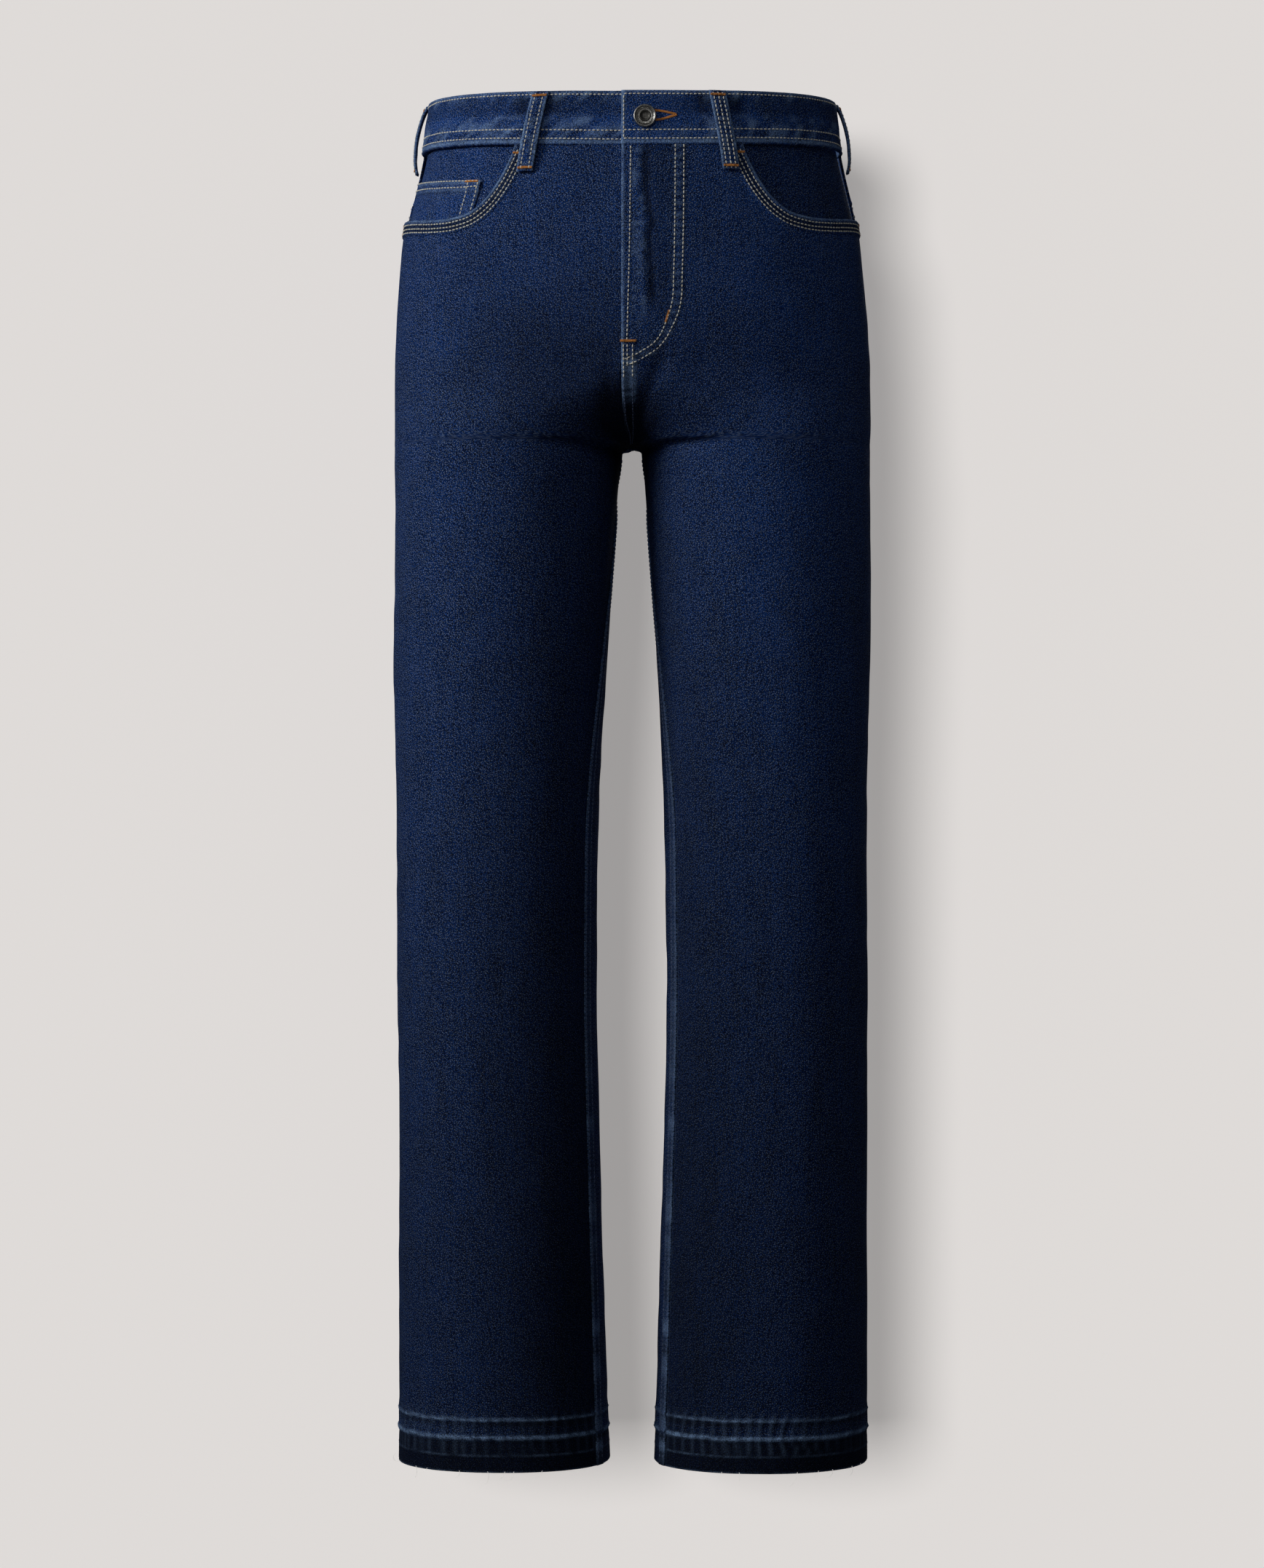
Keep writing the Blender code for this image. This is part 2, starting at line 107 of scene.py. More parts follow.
FLY_LAP = 0.0050
FLY_END = 0.190
FLY_EASE = 0.016
LAP_END = 0.249  # where the centre front's edge starts to run in to the crotch
LAP_EASE = 0.008
FACING_DEPTH = 0.0038
FACING_START = 0.080
FACING_HEM = 0.012
FACING_TUCK = 0.006
BAND_WALL = 0.0024
BAND_PROUD = 0.0010
BAND_UNDERLAP = 0.040
BAND_OVER = 0.0013  # its lower edge hangs over the tops of the panels, so that no light shows between
BUTTON_ARC = 0.0120
BUTTON_DROP = 0.0233
LOOP_WIDTH = 0.0115
LOOP_WALL = 0.0014
POCKET_WALL = 0.0012
COIN_WALL = 0.0006
COIN_LEVEL = 0.07  # the drop at which the coin pocket's inner edge is laid out
ZIP_END = 0.172
ZIP_WALL = 0.0007
ZIP_MIDDLE = 0.004  # arc of the chain
TOOTH_PITCH = 0.0024
TOOTH_SIZE = (0.0030, 0.0012, 0.0012, 1.0)
SLIDER_SIZE = (0.0085, 0.0028, 0.0100, 1.0)
HEAVY_THREAD = 0.0008  # thread of the bartacks and the buttonhole
BARTACK_PITCH = 0.00072
BUTTONHOLE_PITCH = 0.00065
TACK_STEP = 0.0004

QUARTER_POINTS = 40
EVEN_STEPS = 640  # even steps along each section of the looked-up form
PROBE = 0.0012  # step used to find the surface's direction

# Heights over the raw hem of the fold lines that the let-down hem left behind
HEM_TOP_LINE = 0.0386
HEM_FOLD_LINE = 0.0252
HEM_LOW_LINE = 0.0125

Section = namedtuple("Section", "drop outer front back")
SECTIONS = [
    Section(-0.020, 0.1515, 0.0990, 0.0950),
    Section(0.000, 0.1523, 0.1000, 0.0970),
    Section(0.037, 0.1575, 0.1020, 0.1040),
    Section(0.065, 0.1640, 0.1045, 0.1130),
    Section(0.093, 0.1704, 0.1070, 0.1210),
    Section(0.125, 0.1740, 0.1090, 0.1270),
    Section(0.180, 0.1780, 0.1090, 0.1290),
    Section(0.258, 0.1788, 0.1000, 0.1160),
    Section(0.330, 0.1786, 0.0930, 0.1020),
    Section(0.414, 0.1786, 0.0860, 0.0900),
    Section(0.520, 0.1770, 0.0790, 0.0800),
    Section(0.640, 0.1766, 0.0755, 0.0765),
    Section(0.850, 0.1754, 0.0750, 0.0770),
    Section(1.018, 0.1762, 0.0780, 0.0780),
]

LegGap = namedtuple("LegGap", "drop half")
LEG_GAPS = [
    LegGap(0.258, 0.0080),
    LegGap(0.304, 0.0115),
    LegGap(0.359, 0.0153),
    LegGap(0.414, 0.0192),
    LegGap(0.469, 0.0222),
    LegGap(0.523, 0.0244),
    LegGap(0.600, 0.0258),
    LegGap(0.688, 0.0260),
    LegGap(0.743, 0.0247),
    LegGap(0.852, 0.0216),
    LegGap(1.018, 0.0164),
]

Scoop = namedtuple("Scoop", "across drop")
SCOOP = [
    Scoop(0.0880, 0.0425),
    Scoop(0.0915, 0.0530),
    Scoop(0.0960, 0.0640),
    Scoop(0.1040, 0.0780),
    Scoop(0.1130, 0.0872),
    Scoop(0.1270, 0.0923),
    Scoop(0.1430, 0.0926),
    Scoop(0.1600, 0.0900),
    Scoop(0.1710, 0.0875),
]
SCOOP_ROWS = (0.0034, 0.0066, 0.0093)  # distances of the stitch rows from the pocket's edge

Place = namedtuple("Place", "arc drop")
FLY_ROW = [
    Place(0.0343, 0.0431),
    Place(0.0340, 0.1010),
    Place(0.0332, 0.1382),
    Place(0.0323, 0.1579),
    Place(0.0305, 0.1660),
    Place(0.0270, 0.1754),
    Place(0.0234, 0.1834),
    Place(0.0182, 0.1897),
    Place(0.0111, 0.1945),
    Place(0.0049, 0.1980),
    Place(-0.0035, 0.2014),
]
FLY_ROW_GAP = 0.0063

Loop = namedtuple("Loop", "name side top_place bottom_place end standoff width rows")
LOOPS = [
    Loop("belt_loop_front_left", 1, 0.0645, 0.0755, 0.0615, 0.0058, 0.0128, (-0.0034, 0.0, 0.0034)),
    Loop("belt_loop_front_right", -1, 0.0645, 0.0765, 0.0625, 0.0058, 0.0128, (-0.0030, 0.0030)),
    Loop("belt_loop_side_left", 1, "side", "side", 0.0520, 0.0078, LOOP_WIDTH, (-0.0028, 0.0028)),
    Loop("belt_loop_side_right", -1, "side", "side", 0.0520, 0.0078, LOOP_WIDTH, (-0.0028, 0.0028)),
    Loop("belt_loop_back", 1, "back", "back", 0.0390, 0.0078, LOOP_WIDTH, (-0.0028, 0.0028)),
]

Pocket = namedtuple("Pocket", "inner top_width bottom_width top slant height point")
BACK_POCKET = Pocket(0.030, 0.138, 0.116, 0.110, 0.008, 0.116, 0.014)

Coin = namedtuple("Coin", "inner_top inner_bottom top_inner top_outer")
COIN_POCKET = Coin(0.1115, 0.1155, 0.0660, 0.0580)

Detail = namedtuple("Detail", "out wear fade dark pucker")
Panel = namedtuple("Panel", "side detail lap")


def linear(code):
    """An sRGB hex colour as linear red, green and blue."""
    parts = [int(code[i : i + 2], 16) / 255 for i in (0, 2, 4)]
    return tuple(part / 12.92 if part <= 0.04045 else ((part + 0.055) / 1.055) ** 2.4 for part in parts)


class JeansSizes(bpy.types.PropertyGroup):
    denim: FloatProperty(name="Denim", description="Thickness of the denim", default=0.0012, unit="LENGTH")
    twill: FloatProperty(
        name="Twill Spacing", description="Distance between the diagonal ribs that show",
        default=0.0013, unit="LENGTH",
    )
    stitch_pitch: FloatProperty(
        name="Stitch Pitch", description="Distance between stitches of a row", default=0.0032, unit="LENGTH"
    )
    stitch_length: FloatProperty(
        name="Stitch Length", description="Length of one stitch that shows", default=0.0026, unit="LENGTH"
    )
    thread: FloatProperty(
        name="Thread", description="Thickness of the topstitching thread", default=0.00115, unit="LENGTH"
    )
    hem_thread: FloatProperty(
        name="Loose Thread", description="Thickness of the loose threads at the hem",
        default=0.00036, unit="LENGTH",
    )


class JeansColours(bpy.types.PropertyGroup):
    indigo: FloatVectorProperty(
        name="Indigo", description="Deep colour of the denim", subtype="COLOR", default=linear("030C24")
    )
    worn: FloatVectorProperty(
        name="Worn Indigo", description="Denim where the dye has washed out", subtype="COLOR",
        default=linear("1D54AC"),
    )
    abraded: FloatVectorProperty(
        name="Abraded Denim", description="Ridges rubbed down to the pale core", subtype="COLOR",
        default=linear("94B6E4"),
    )
    inside: FloatVectorProperty(
        name="Inside", description="The weft side of the denim", subtype="COLOR", default=linear("5C6C88")
    )
    topstitch: FloatVectorProperty(
        name="Topstitch", description="Topstitching thread", subtype="COLOR", default=linear("F7EEDB")
    )
    bartack: FloatVectorProperty(
        name="Bartack", description="Thread of the bartacks and the buttonhole", subtype="COLOR",
        default=linear("D88A34"),
    )
    metal: FloatVectorProperty(
        name="Metal", description="Button metal", subtype="COLOR", default=linear("BDBBB6")
    )
    backdrop: FloatVectorProperty(
        name="Backdrop", description="Studio wall and floor", subtype="COLOR", default=linear("E0DCD9")
    )


# ---------------------------------------------------------------- the garment's form


def smoothstep(value):
    clamped = np.clip(value, 0.0, 1.0)
    return clamped * clamped * (3.0 - 2.0 * clamped)


def hump(distance, width):
    """1 at no distance, easing to nothing over a few widths."""
    return np.exp(-((distance / width) ** 2))


def between(value, low, high, ease):
    """1 from low to high, easing to 0 outside."""
    return smoothstep((value - low) / ease + 1) * smoothstep((high - value) / ease + 1)


def curve_through(stations, values):
    """A smooth curve through values at rising stations, as a function of the station."""
    stations = np.asarray(stations, float)
    values = np.asarray(values, float)
    slopes = np.gradient(values, stations)

    def at(station):
        station = np.clip(station, stations[0], stations[-1])
        i = np.clip(np.searchsorted(stations, station, side="right") - 1, 0, len(stations) - 2)
        span = stations[i + 1] - stations[i]
        t = (station - stations[i]) / span
        rise = t * t * (3 - 2 * t)
        start = t * (1 - t) ** 2 * span * slopes[i]
        end = t * t * (t - 1) * span * slopes[i + 1]
        return values[i] + (values[i + 1] - values[i]) * rise + start + end

    return at


def column_of(rows, station, column):
    return curve_through([getattr(row, station) for row in rows], [getattr(row, column) for row in rows])


outer_at = column_of(SECTIONS, "drop", "outer")
front_at = column_of(SECTIONS, "drop", "front")
back_at = column_of(SECTIONS, "drop", "back")
leg_gap_at = column_of(LEG_GAPS, "drop", "half")
scoop_at = column_of(SCOOP, "across", "drop")


def inner_side(drop):
    corner = min(max((drop - CROTCH) / CROTCH_CORNER, 0.0), 1.0)
    return math.sqrt(1.0 - (1.0 - corner) ** 2) * leg_gap_at(drop)


def quarter(reach_x, reach_y, power):
    """A quarter of a superellipse, from (reach_x, 0) to (0, reach_y)."""
    angles = np.linspace(0.0, math.pi / 2, QUARTER_POINTS + 1)
    across = reach_x * np.abs(np.cos(angles)) ** (2 / power)
    return np.stack([across, reach_y * np.abs(np.sin(angles)) ** (2 / power)], axis=1)


def flattened(across, drop):
    """Widens the bottom of the valley between the legs, so that the centre front's seam faces forwards."""
    reach = FLOOR_REACH * float(smoothstep((CROTCH + FLOOR_END - drop) / FLOOR_EASE))
    whole = across.max()
    if whole < 0.0001:
        return across
    from_centre = np.sqrt(np.maximum((whole - across + reach) ** 2 - reach**2, 0.0))
    return whole - from_centre * whole / math.sqrt((whole + reach) ** 2 - reach**2)


def section(drop):
    """The left half's section at a drop, from the inner front round to the inner back."""
    inner = inner_side(drop)
    outer = outer_at(drop)
    halves = []
    for depth, height, facing in ((front_at(drop), FRONT_CURVE, -1), (back_at(drop), BACK_CURVE, 1)):
        t = min(max((CROTCH - drop) / height, 0.0), 1.0)
        squareness = FRONT_SQUARENESS if facing < 0 else 2.0
        arched = 1.0 - (1.0 - (1.0 - t) ** squareness) ** (1 / squareness)
        leg_centre = inner + (outer - inner) / 2 * (1.0 - smoothstep(t))
        power = ROUNDNESS - (ROUNDNESS - SEAT_SLOPE) * t
        inside = quarter(leg_centre - inner, depth * arched, power)
        if facing < 0:
            inside[:, 0] = flattened(inside[:, 0], drop)
        inside = np.array([leg_centre, facing * depth * (1 - arched)]) + inside * (-1, facing)
        outside = quarter(outer - leg_centre, depth, ROUNDNESS)[::-1] * (1, facing)
        halves.append(np.concatenate([inside, outside[1:] + np.array([leg_centre, 0.0])]))
    return np.concatenate([halves[0], halves[1][::-1][1:]])


Form = namedtuple("Form", "drops wholes arcs xs ys")


def make_form():
    """Sections at close drops, closest round the crotch, so that many places can be looked up at once."""
    fine = 0.02 * np.linspace(0.0, 1.0, 60) ** 2
    even = np.arange(-0.026, LENGTH + 0.006, 0.003)
    drops = np.unique(np.concatenate([even, CROTCH - fine, CROTCH + fine]))
    shares = np.linspace(0.0, 1.0, EVEN_STEPS + 1)
    wholes, arcs, xs, ys = [], [], [], []
    for drop in drops:
        points = section(drop)
        along = np.concatenate([[0.0], np.cumsum(np.linalg.norm(np.diff(points, axis=0), axis=1))])
        wholes.append(along[-1])
        arcs.append(along)
        xs.append(np.interp(shares * along[-1], along, points[:, 0]))
        ys.append(np.interp(shares * along[-1], along, points[:, 1]))
    return Form(drops, np.array(wholes), np.array(arcs), np.array(xs), np.array(ys))


FORM = make_form()


def look_up(table, drops, columns):
    """Reads a table of the form between its rows and columns."""
    row = np.interp(drops, FORM.drops, np.arange(len(FORM.drops)))
    low = np.minimum(row.astype(int), len(FORM.drops) - 2)
    left = np.clip(columns.astype(int), 0, table.shape[1] - 2)
    down, over = row - low, columns - left
    upper = table[low, left] * (1 - over) + table[low, left + 1] * over
    lower = table[low + 1, left] * (1 - over) + table[low + 1, left + 1] * over
    return upper * (1 - down) + lower * down


def whole_arc(drop):
    return np.interp(drop, FORM.drops, FORM.wholes)


def arc_of(drop, quarters):
    """The arc of a place given in quarters of the section: 2 is the side."""
    drop, quarters = np.broadcast_arrays(np.asarray(drop, float), np.asarray(quarters, float))
    return look_up(FORM.arcs, drop, quarters * QUARTER_POINTS)


HALF_WAIST = float(whole_arc(0.0))
SIDE_ARC = float(arc_of(HIP, OUTSEAM))


def places(drops, arcs):
    """Points of the left half. Past the centre planes they go on round the garment."""
    drops, arcs = np.broadcast_arrays(np.asarray(drops, float), np.asarray(arcs, float))
    share = arcs / whole_arc(drops)
    share = np.where(drops > CROTCH, share % 1.0, share % 2.0)
    mirrored = share > 1.0
    share = np.where(mirrored, 2.0 - share, share)
    x = look_up(FORM.xs, drops, share * EVEN_STEPS)
    y = look_up(FORM.ys, drops, share * EVEN_STEPS)
    return np.stack([np.where(mirrored, -x, x), y, WAIST_TOP - drops], axis=-1)


def outwards(drops, arcs):
    """The directions out of the cloth at places."""
    along = places(drops, arcs + PROBE) - places(drops, arcs - PROBE)
    down = places(drops + PROBE, arcs) - places(drops - PROBE, arcs)
    normal = np.cross(down, along)
    level = np.stack([along[..., 1], -along[..., 0], np.zeros_like(along[..., 0])], axis=-1)
    normal = np.where((normal * level).sum(-1, keepdims=True) > 0, normal, level)
    return normal / np.linalg.norm(normal, axis=-1, keepdims=True)


def arc_at(drop, across):
    """The arc of the place on the front that is `across` from the centre plane."""
    arcs = np.linspace(0.0, float(arc_of(drop, 2.0)), 400)
    return float(np.interp(across, places(drop, arcs)[:, 0], arcs))


def band_top(share):
    """The drop of the waist's top edge. share runs from 0 at the centre front, by 0.5 at the side, to 1."""
    wave = (1.0 + np.cos(2.0 * math.pi * share)) / 2.0
    return np.where(share < 0.5, FRONT_DIP * wave, -BACK_RAISE * wave)


def band_bottom(share):
    wave = (1.0 + np.cos(2.0 * math.pi * share)) / 2.0
    return band_top(share) + SIDE_BAND_HEIGHT + CENTRE_BAND_EXTRA * wave


def share_of(arc):
    return np.interp(np.abs(arc), [0.0, float(arc_of(0.0, OUTSEAM)), HALF_WAIST], [0.0, 0.5, 1.0])


def yoke_seam(from_back):
    """The drop of the yoke's seam. from_back runs from 0 at the centre back to 1 at the side."""
    share = 1.0 - 0.5 * from_back
    return band_bottom(share) + YOKE_CENTRE + (YOKE_SIDE - YOKE_CENTRE) * from_back


def scoop_drop(across):
    """The drop of the front's top edge: the band's seam, then the pocket opening."""
    return np.where(across < SCOOP[0].across, band_bottom(share_of(across)), scoop_at(across))


def fly_share(drop):
    """1 along the fly, easing to 0 below it."""
    return 1.0 - smoothstep((drop - FLY_END) / FLY_EASE)


def turned_inseam(drop):
    return INSEAM * smoothstep((drop - CROTCH) / INSEAM_SETTLED)


def panel_drop(column, row, top):
    """The drop of a leg panel's row: rows are close at the crotch, and fanned up to the panel's top."""
    reach = np.abs(row - CROTCH) / CROTCH_REACH
    bent = CROTCH + np.sign(row - CROTCH) * CROTCH_REACH * (2 * reach**2 - reach**3)
    inner = np.where(reach < 1, bent, row)
    drop = inner + (row - inner) * smoothstep(column / INNER_SHARE)
    return np.where(drop < FAN_END, top + (FAN_END - top) * drop / FAN_END, drop)


# ---------------------------------------------------------------- paths and relief on the cloth

LATTICE = np.random.default_rng(11).uniform(-1.0, 1.0, (128, 128))


def lumps(arc, drop, size, shift=0.0):
    """Smooth noise from -1 to 1 whose lumps are about a size across."""
    u, v = arc / size + 31.7 * shift + 64, drop / size + 17.9 * shift + 64
    i, j = np.floor(u).astype(int), np.floor(v).astype(int)
    s, t = smoothstep(u - i), smoothstep(v - j)
    corner = [LATTICE[(i + a) % 128, (j + b) % 128] for a, b in ((0, 0), (1, 0), (0, 1), (1, 1))]
    return (corner[0] * (1 - s) + corner[1] * s) * (1 - t) + (corner[2] * (1 - s) + corner[3] * s) * t


def path_through(points, step=0.0008):
    """A smooth path on the cloth through (arc, drop) points."""
    points = np.array(points, float)
    lengths = np.concatenate([[0.0], np.cumsum(np.linalg.norm(np.diff(points, axis=0), axis=1))])
    even = np.linspace(0.0, lengths[-1], max(2, int(lengths[-1] / step)))
    return np.stack([curve_through(lengths, points[:, i])(even) for i in range(2)], axis=1)


def path_of(drops, arcs):
    return np.stack([arcs, drops], axis=1)


def beside(path, gap):
    """The path moved sideways: to a greater arc where it runs down and the gap is positive."""
    heading = np.gradient(path, axis=0)
    heading /= np.linalg.norm(heading, axis=1, keepdims=True)
    gap = np.broadcast_to(np.asarray(gap, float), (len(path),))
    return path + gap[:, None] * np.stack([heading[:, 1], -heading[:, 0]], axis=1)


def distance_from(path, arc, drop):
    best = np.full(np.shape(arc), 1.0)
    for start, end in zip(path[:-1], path[1:]):
        run = end - start
        t = np.clip(((arc - start[0]) * run[0] + (drop - start[1]) * run[1]) / (run @ run), 0.0, 1.0)
        best = np.minimum(best, np.hypot(arc - start[0] - t * run[0], drop - start[1] - t * run[1]))
    return best


def front_edges(side, drop):
    """The arcs of a front's centre edge and of its side seam."""
    held = 1.0 - smoothstep((drop - LAP_END) / LAP_EASE)
    if side > 0:
        start = arc_of(drop, turned_inseam(drop)) + GAP / 2 - (FLY_LAP + GAP / 2) * held
    else:
        under = fly_share(drop)
        meeting = arc_of(drop, turned_inseam(drop)) + GAP / 2 + FLY_LAP * held
        start = meeting + (-FLY_LAP - meeting) * under
    return start, arc_of(drop, OUTSEAM) - GAP / 2


def front_top(side, column):
    start, end = front_edges(side, np.full_like(column, HIP))
    return scoop_drop(places(HIP, start + column * (end - start))[..., 0]) + 2 * GAP


def scoop_path(side):
    """The edge of the front pocket's opening."""
    columns = np.linspace(0.3, 1.0, 240)
    start, end = front_edges(side, np.full_like(columns, HIP))
    across = places(HIP, start + columns * (end - start))[:, 0]
    drops = front_top(side, columns)
    start, end = front_edges(side, drops)
    return path_of(drops, start + columns * (end - start))[across > SCOOP[0].across]


SCOOP_PATHS = {side: scoop_path(side) for side in (1, -1)}
FLY_PATH = path_through(FLY_ROW)
FLY_OUTER_PATH = beside(FLY_PATH, FLY_ROW_GAP - 0.0016 * smoothstep((FLY_PATH[:, 1] - 0.16) / 0.03))


def hem_detail(arc, drop, phase):
    """Relief and marks of the let-down hem: two worn ridges, puckers between them and a raw lower edge."""
    height = LENGTH - drop
    wander = 0.0007 * lumps(arc, drop * 0, 0.012, 3 + phase)
    ripple = np.sin(2 * math.pi * arc / 0.0088 + 2.2 * lumps(arc, drop, 0.02, 5 + phase))
    zone = between(height, 0.0235, 0.0400, 0.006)
    top_line = hump(height - HEM_TOP_LINE + wander, 0.0009)
    fold_line = hump(height - HEM_FOLD_LINE + wander, 0.0013)
    low_line = hump(height - HEM_LOW_LINE + wander, 0.0006)
    out = 0.0006 * top_line + 0.0010 * fold_line + 0.0004 * ripple * zone + 0.0002 * low_line
    out = out - 0.0004 * hump(height - 0.0215, 0.002)
    grain = 0.6 + 0.5 * lumps(arc, drop, 0.0028, 8 + phase)
    uneven = 0.5 + 0.5 * lumps(arc, drop * 0, 0.030, 12 + phase)
    wear = 0.95 * fold_line * grain + 0.70 * top_line * grain
    wear = wear + 0.13 * uneven * between(height, 0.0160, 0.0400, 0.006) * np.maximum(ripple, 0)
    wear = wear + 0.22 * low_line * grain + 0.50 * hump(height, 0.0006) * grain
    dark = 0.60 * between(height, -0.01, 0.0205, 0.004) + 0.40 * hump(height - HEM_TOP_LINE + 0.0030, 0.0020)
    dark = dark + 0.35 * hump(height - HEM_FOLD_LINE + 0.0034, 0.0020)
    return out, wear, dark


def drape(arc, drop, phase):
    """The slow waves that every hanging panel has."""
    return 0.0010 * lumps(arc, drop * 0.5, 0.055, phase) + 0.0003 * lumps(arc, drop, 0.016, phase + 1)


def front_detail(side):
    """Height and marks of a leg front at places. The marks include painted shade on the inner thighs, round
    the crotch, down the legs and along the fly, and painted light on the left thigh's outer half.
    """
    edge_path = SCOOP_PATHS[side]

    def detail(drop, arc):
        start, end = front_edges(side, drop)
        edge = distance_from(edge_path, arc, drop)
        from_side = end - arc
        upper = 1.0 - smoothstep((drop - 0.17) / 0.04)
        hem_out, hem_wear, hem_dark = hem_detail(arc, drop, 0 if side > 0 else 2)
        out = drape(arc, drop, 20 + side) * smoothstep((arc - start) / 0.03)
        facing = 1.0 - smoothstep((edge - 0.0102) / 0.0016)
        out = out + 0.0009 * facing + 0.0004 * hump(edge - 0.0016, 0.0012) - 0.0006 * hump(edge, 0.0007)
        for row in SCOOP_ROWS:
            out = out - 0.0003 * hump(edge - row, 0.0008)
        rim_ripple = np.sin(2 * math.pi * (arc + drop) / 0.0060 + 2 * lumps(arc, drop, 0.01, 27))
        out = out + 0.0002 * rim_ripple * facing
        grain = 0.65 + 0.45 * lumps(arc, drop, 0.0035, 9)
        wear = 0.55 * hump(edge - 0.0008, 0.0012) * grain
        # Painted shade in the grooves of the stitch rows beside the pocket's edge
        dark = 0.65 * between(edge, 0.0035, 0.0090, 0.001)
        pucker = 0.9 * hump(from_side, 0.010) + 0.5 * facing
        out = out - 0.0006 * hump(from_side, 0.0014) + 0.0005 * hump(from_side - 0.0055, 0.003)
        low_leg = between(drop, 0.50, 0.97, 0.15) if side < 0 else 0.25 * between(drop, 0.4, 0.97, 0.1)
        streak = 0.75 + 0.25 * lumps(arc * 0, drop, 0.007, 4)
        wear = wear + 0.22 * low_leg * hump(from_side - 0.004, 0.0035) * streak
        share = (arc - start) / (end - start)
        # Lighter at the hips and darker down the legs: partly wash, partly painted light and shade
        fade = 0.05 * upper + 0.03 * lumps(arc, drop, 0.05, 2) - 0.14 * smoothstep((drop - 0.3) / 0.6)
        # Painted shade: darker towards the hem, where the light falls off down the legs
        dark = dark + 0.45 * smoothstep((drop - 0.30) / 0.65)
        # Painted shade round the crotch, between the legs
        under = np.hypot(arc, (drop - CROTCH - 0.006) * 0.75)
        dark = dark + 0.75 * (1.0 - smoothstep((under - 0.010) / 0.045))
        if side < 0:
            # Painted shade on the inner half of the right thigh, and a patch of painted shade over its fold
            # towards the crotch
            dark = dark + 0.42 * (1.0 - smoothstep((share - 0.12) / 0.45)) * smoothstep((drop - 0.13) / 0.12)
            dark = dark + 0.30 * hump(drop - 0.185, 0.065) * between(share, 0.02, 0.45, 0.25)
        else:
            # Painted shade on the inner half of the left thigh, and painted light on its outer half
            dark = dark + 0.36 * (1.0 - smoothstep((share - 0.10) / 0.38)) * smoothstep((drop - 0.13) / 0.12)
            fade = fade + 0.10 * between(share, 0.45, 0.86, 0.15)
        if side > 0:
            fly = 1.0 - smoothstep((drop - 0.2) / 0.01)
            rolled = (arc - start) - 0.0016
            out = out + 0.0005 * hump(rolled, 0.0013) - 0.0005 * hump(arc - start, 0.0006)
            wear = wear + (0.60 * fly + 0.20) * hump(rolled + 0.0010, 0.0009) * grain
            inner_row = distance_from(FLY_PATH, arc, drop)
            outer_row = distance_from(FLY_OUTER_PATH, arc, drop)
            rows = np.minimum(inner_row, outer_row)
            out = out - 0.0003 * hump(rows, 0.0009) + 0.0005 * hump(inner_row + outer_row - 0.0063, 0.0012)
            cross = np.sin(2 * math.pi * drop / 0.0072 + 2 * lumps(arc, drop, 0.015, 6))
            out = out + 0.00035 * cross * hump(rows, 0.006)
            wear = wear + 0.16 * np.maximum(cross, 0) * hump(inner_row + outer_row - 0.0063, 0.003)
            # Painted shade in the grooves of the fly's stitch rows
            dark = dark + 0.35 * hump(rows, 0.0018)
            run = smoothstep((drop - 0.05) / 0.07)
            trough_arc = 0.0125 + 0.0050 * run + 0.0022 * lumps(arc * 0, drop, 0.009, 23)
            trough = hump(arc - trough_arc, 0.0026) * between(drop, 0.055, 0.150, 0.02)
            roll = 0.0007 * hump(arc - trough_arc + 0.0060, 0.0030) * between(drop, 0.05, 0.15, 0.02)
            out = out - 0.0011 * trough + roll
            # Painted shade in the trough beside the fly
            dark = dark + 0.75 * trough
            rubbed = between(arc, 0.0035, trough_arc - 0.0035, 0.002) * between(drop, 0.045, 0.16, 0.02)
            wear = wear + 0.17 * rubbed * np.maximum(lumps(arc, drop, 0.0036, 24) + 0.1, 0)
            beyond = between(arc, trough_arc + 0.002, 0.032, 0.003) * between(drop, 0.045, 0.16, 0.02)
            dark = dark + 0.22 * beyond
            strip = between(arc, -0.006, 0.0054, 0.0015) * between(drop, 0.186, CROTCH, 0.006)
            ripple = np.sin(2 * math.pi * drop / 0.0052 + 2 * lumps(arc, drop, 0.01, 7))
            out = out + strip * (0.0005 + 0.0003 * ripple)
            wear = wear + strip * between(drop, 0.203, 0.226, 0.008) * (0.22 + 0.16 * ripple)
            # Painted shade on the strip's lower end, where it turns under into the crotch
            dark = dark + 0.4 * strip * smoothstep((drop - 0.225) / 0.02)
            crease = path_through([(0.024, 0.203), (0.019, 0.215), (0.013, 0.232), (0.010, 0.250)], 0.006)
            out = out - 0.0022 * hump(distance_from(crease, arc, drop), 0.006)
        else:
            ridge = distance_from(np.array([(0.012, 0.196), (0.016, 0.250)]), arc, drop)
            out = out - 0.0014 * hump(ridge, 0.006)
        return Detail(out + hem_out, wear + hem_wear, fade, dark + hem_dark, pucker)

    return detail


def front_lap(side):
    def lap(drop, arc):
        near_centre = 1.0 - smoothstep((arc - 0.010) / 0.020)
        lifted = (0.0012 + GAP) * fly_share(drop - 2 * FLY_EASE) * near_centre
        return lifted if side > 0 else 0.0 * lifted

    return lap


def back_edges(drop):
    """The arcs of a back's inner edge, felled over the front below the crotch, and of its side seam."""
    felled_over = 0.0006 * smoothstep((drop - CROTCH) / 0.01) - GAP / 2
    return whole_arc(drop) + arc_of(drop, turned_inseam(drop)) + felled_over, arc_of(drop, OUTSEAM) + GAP / 2


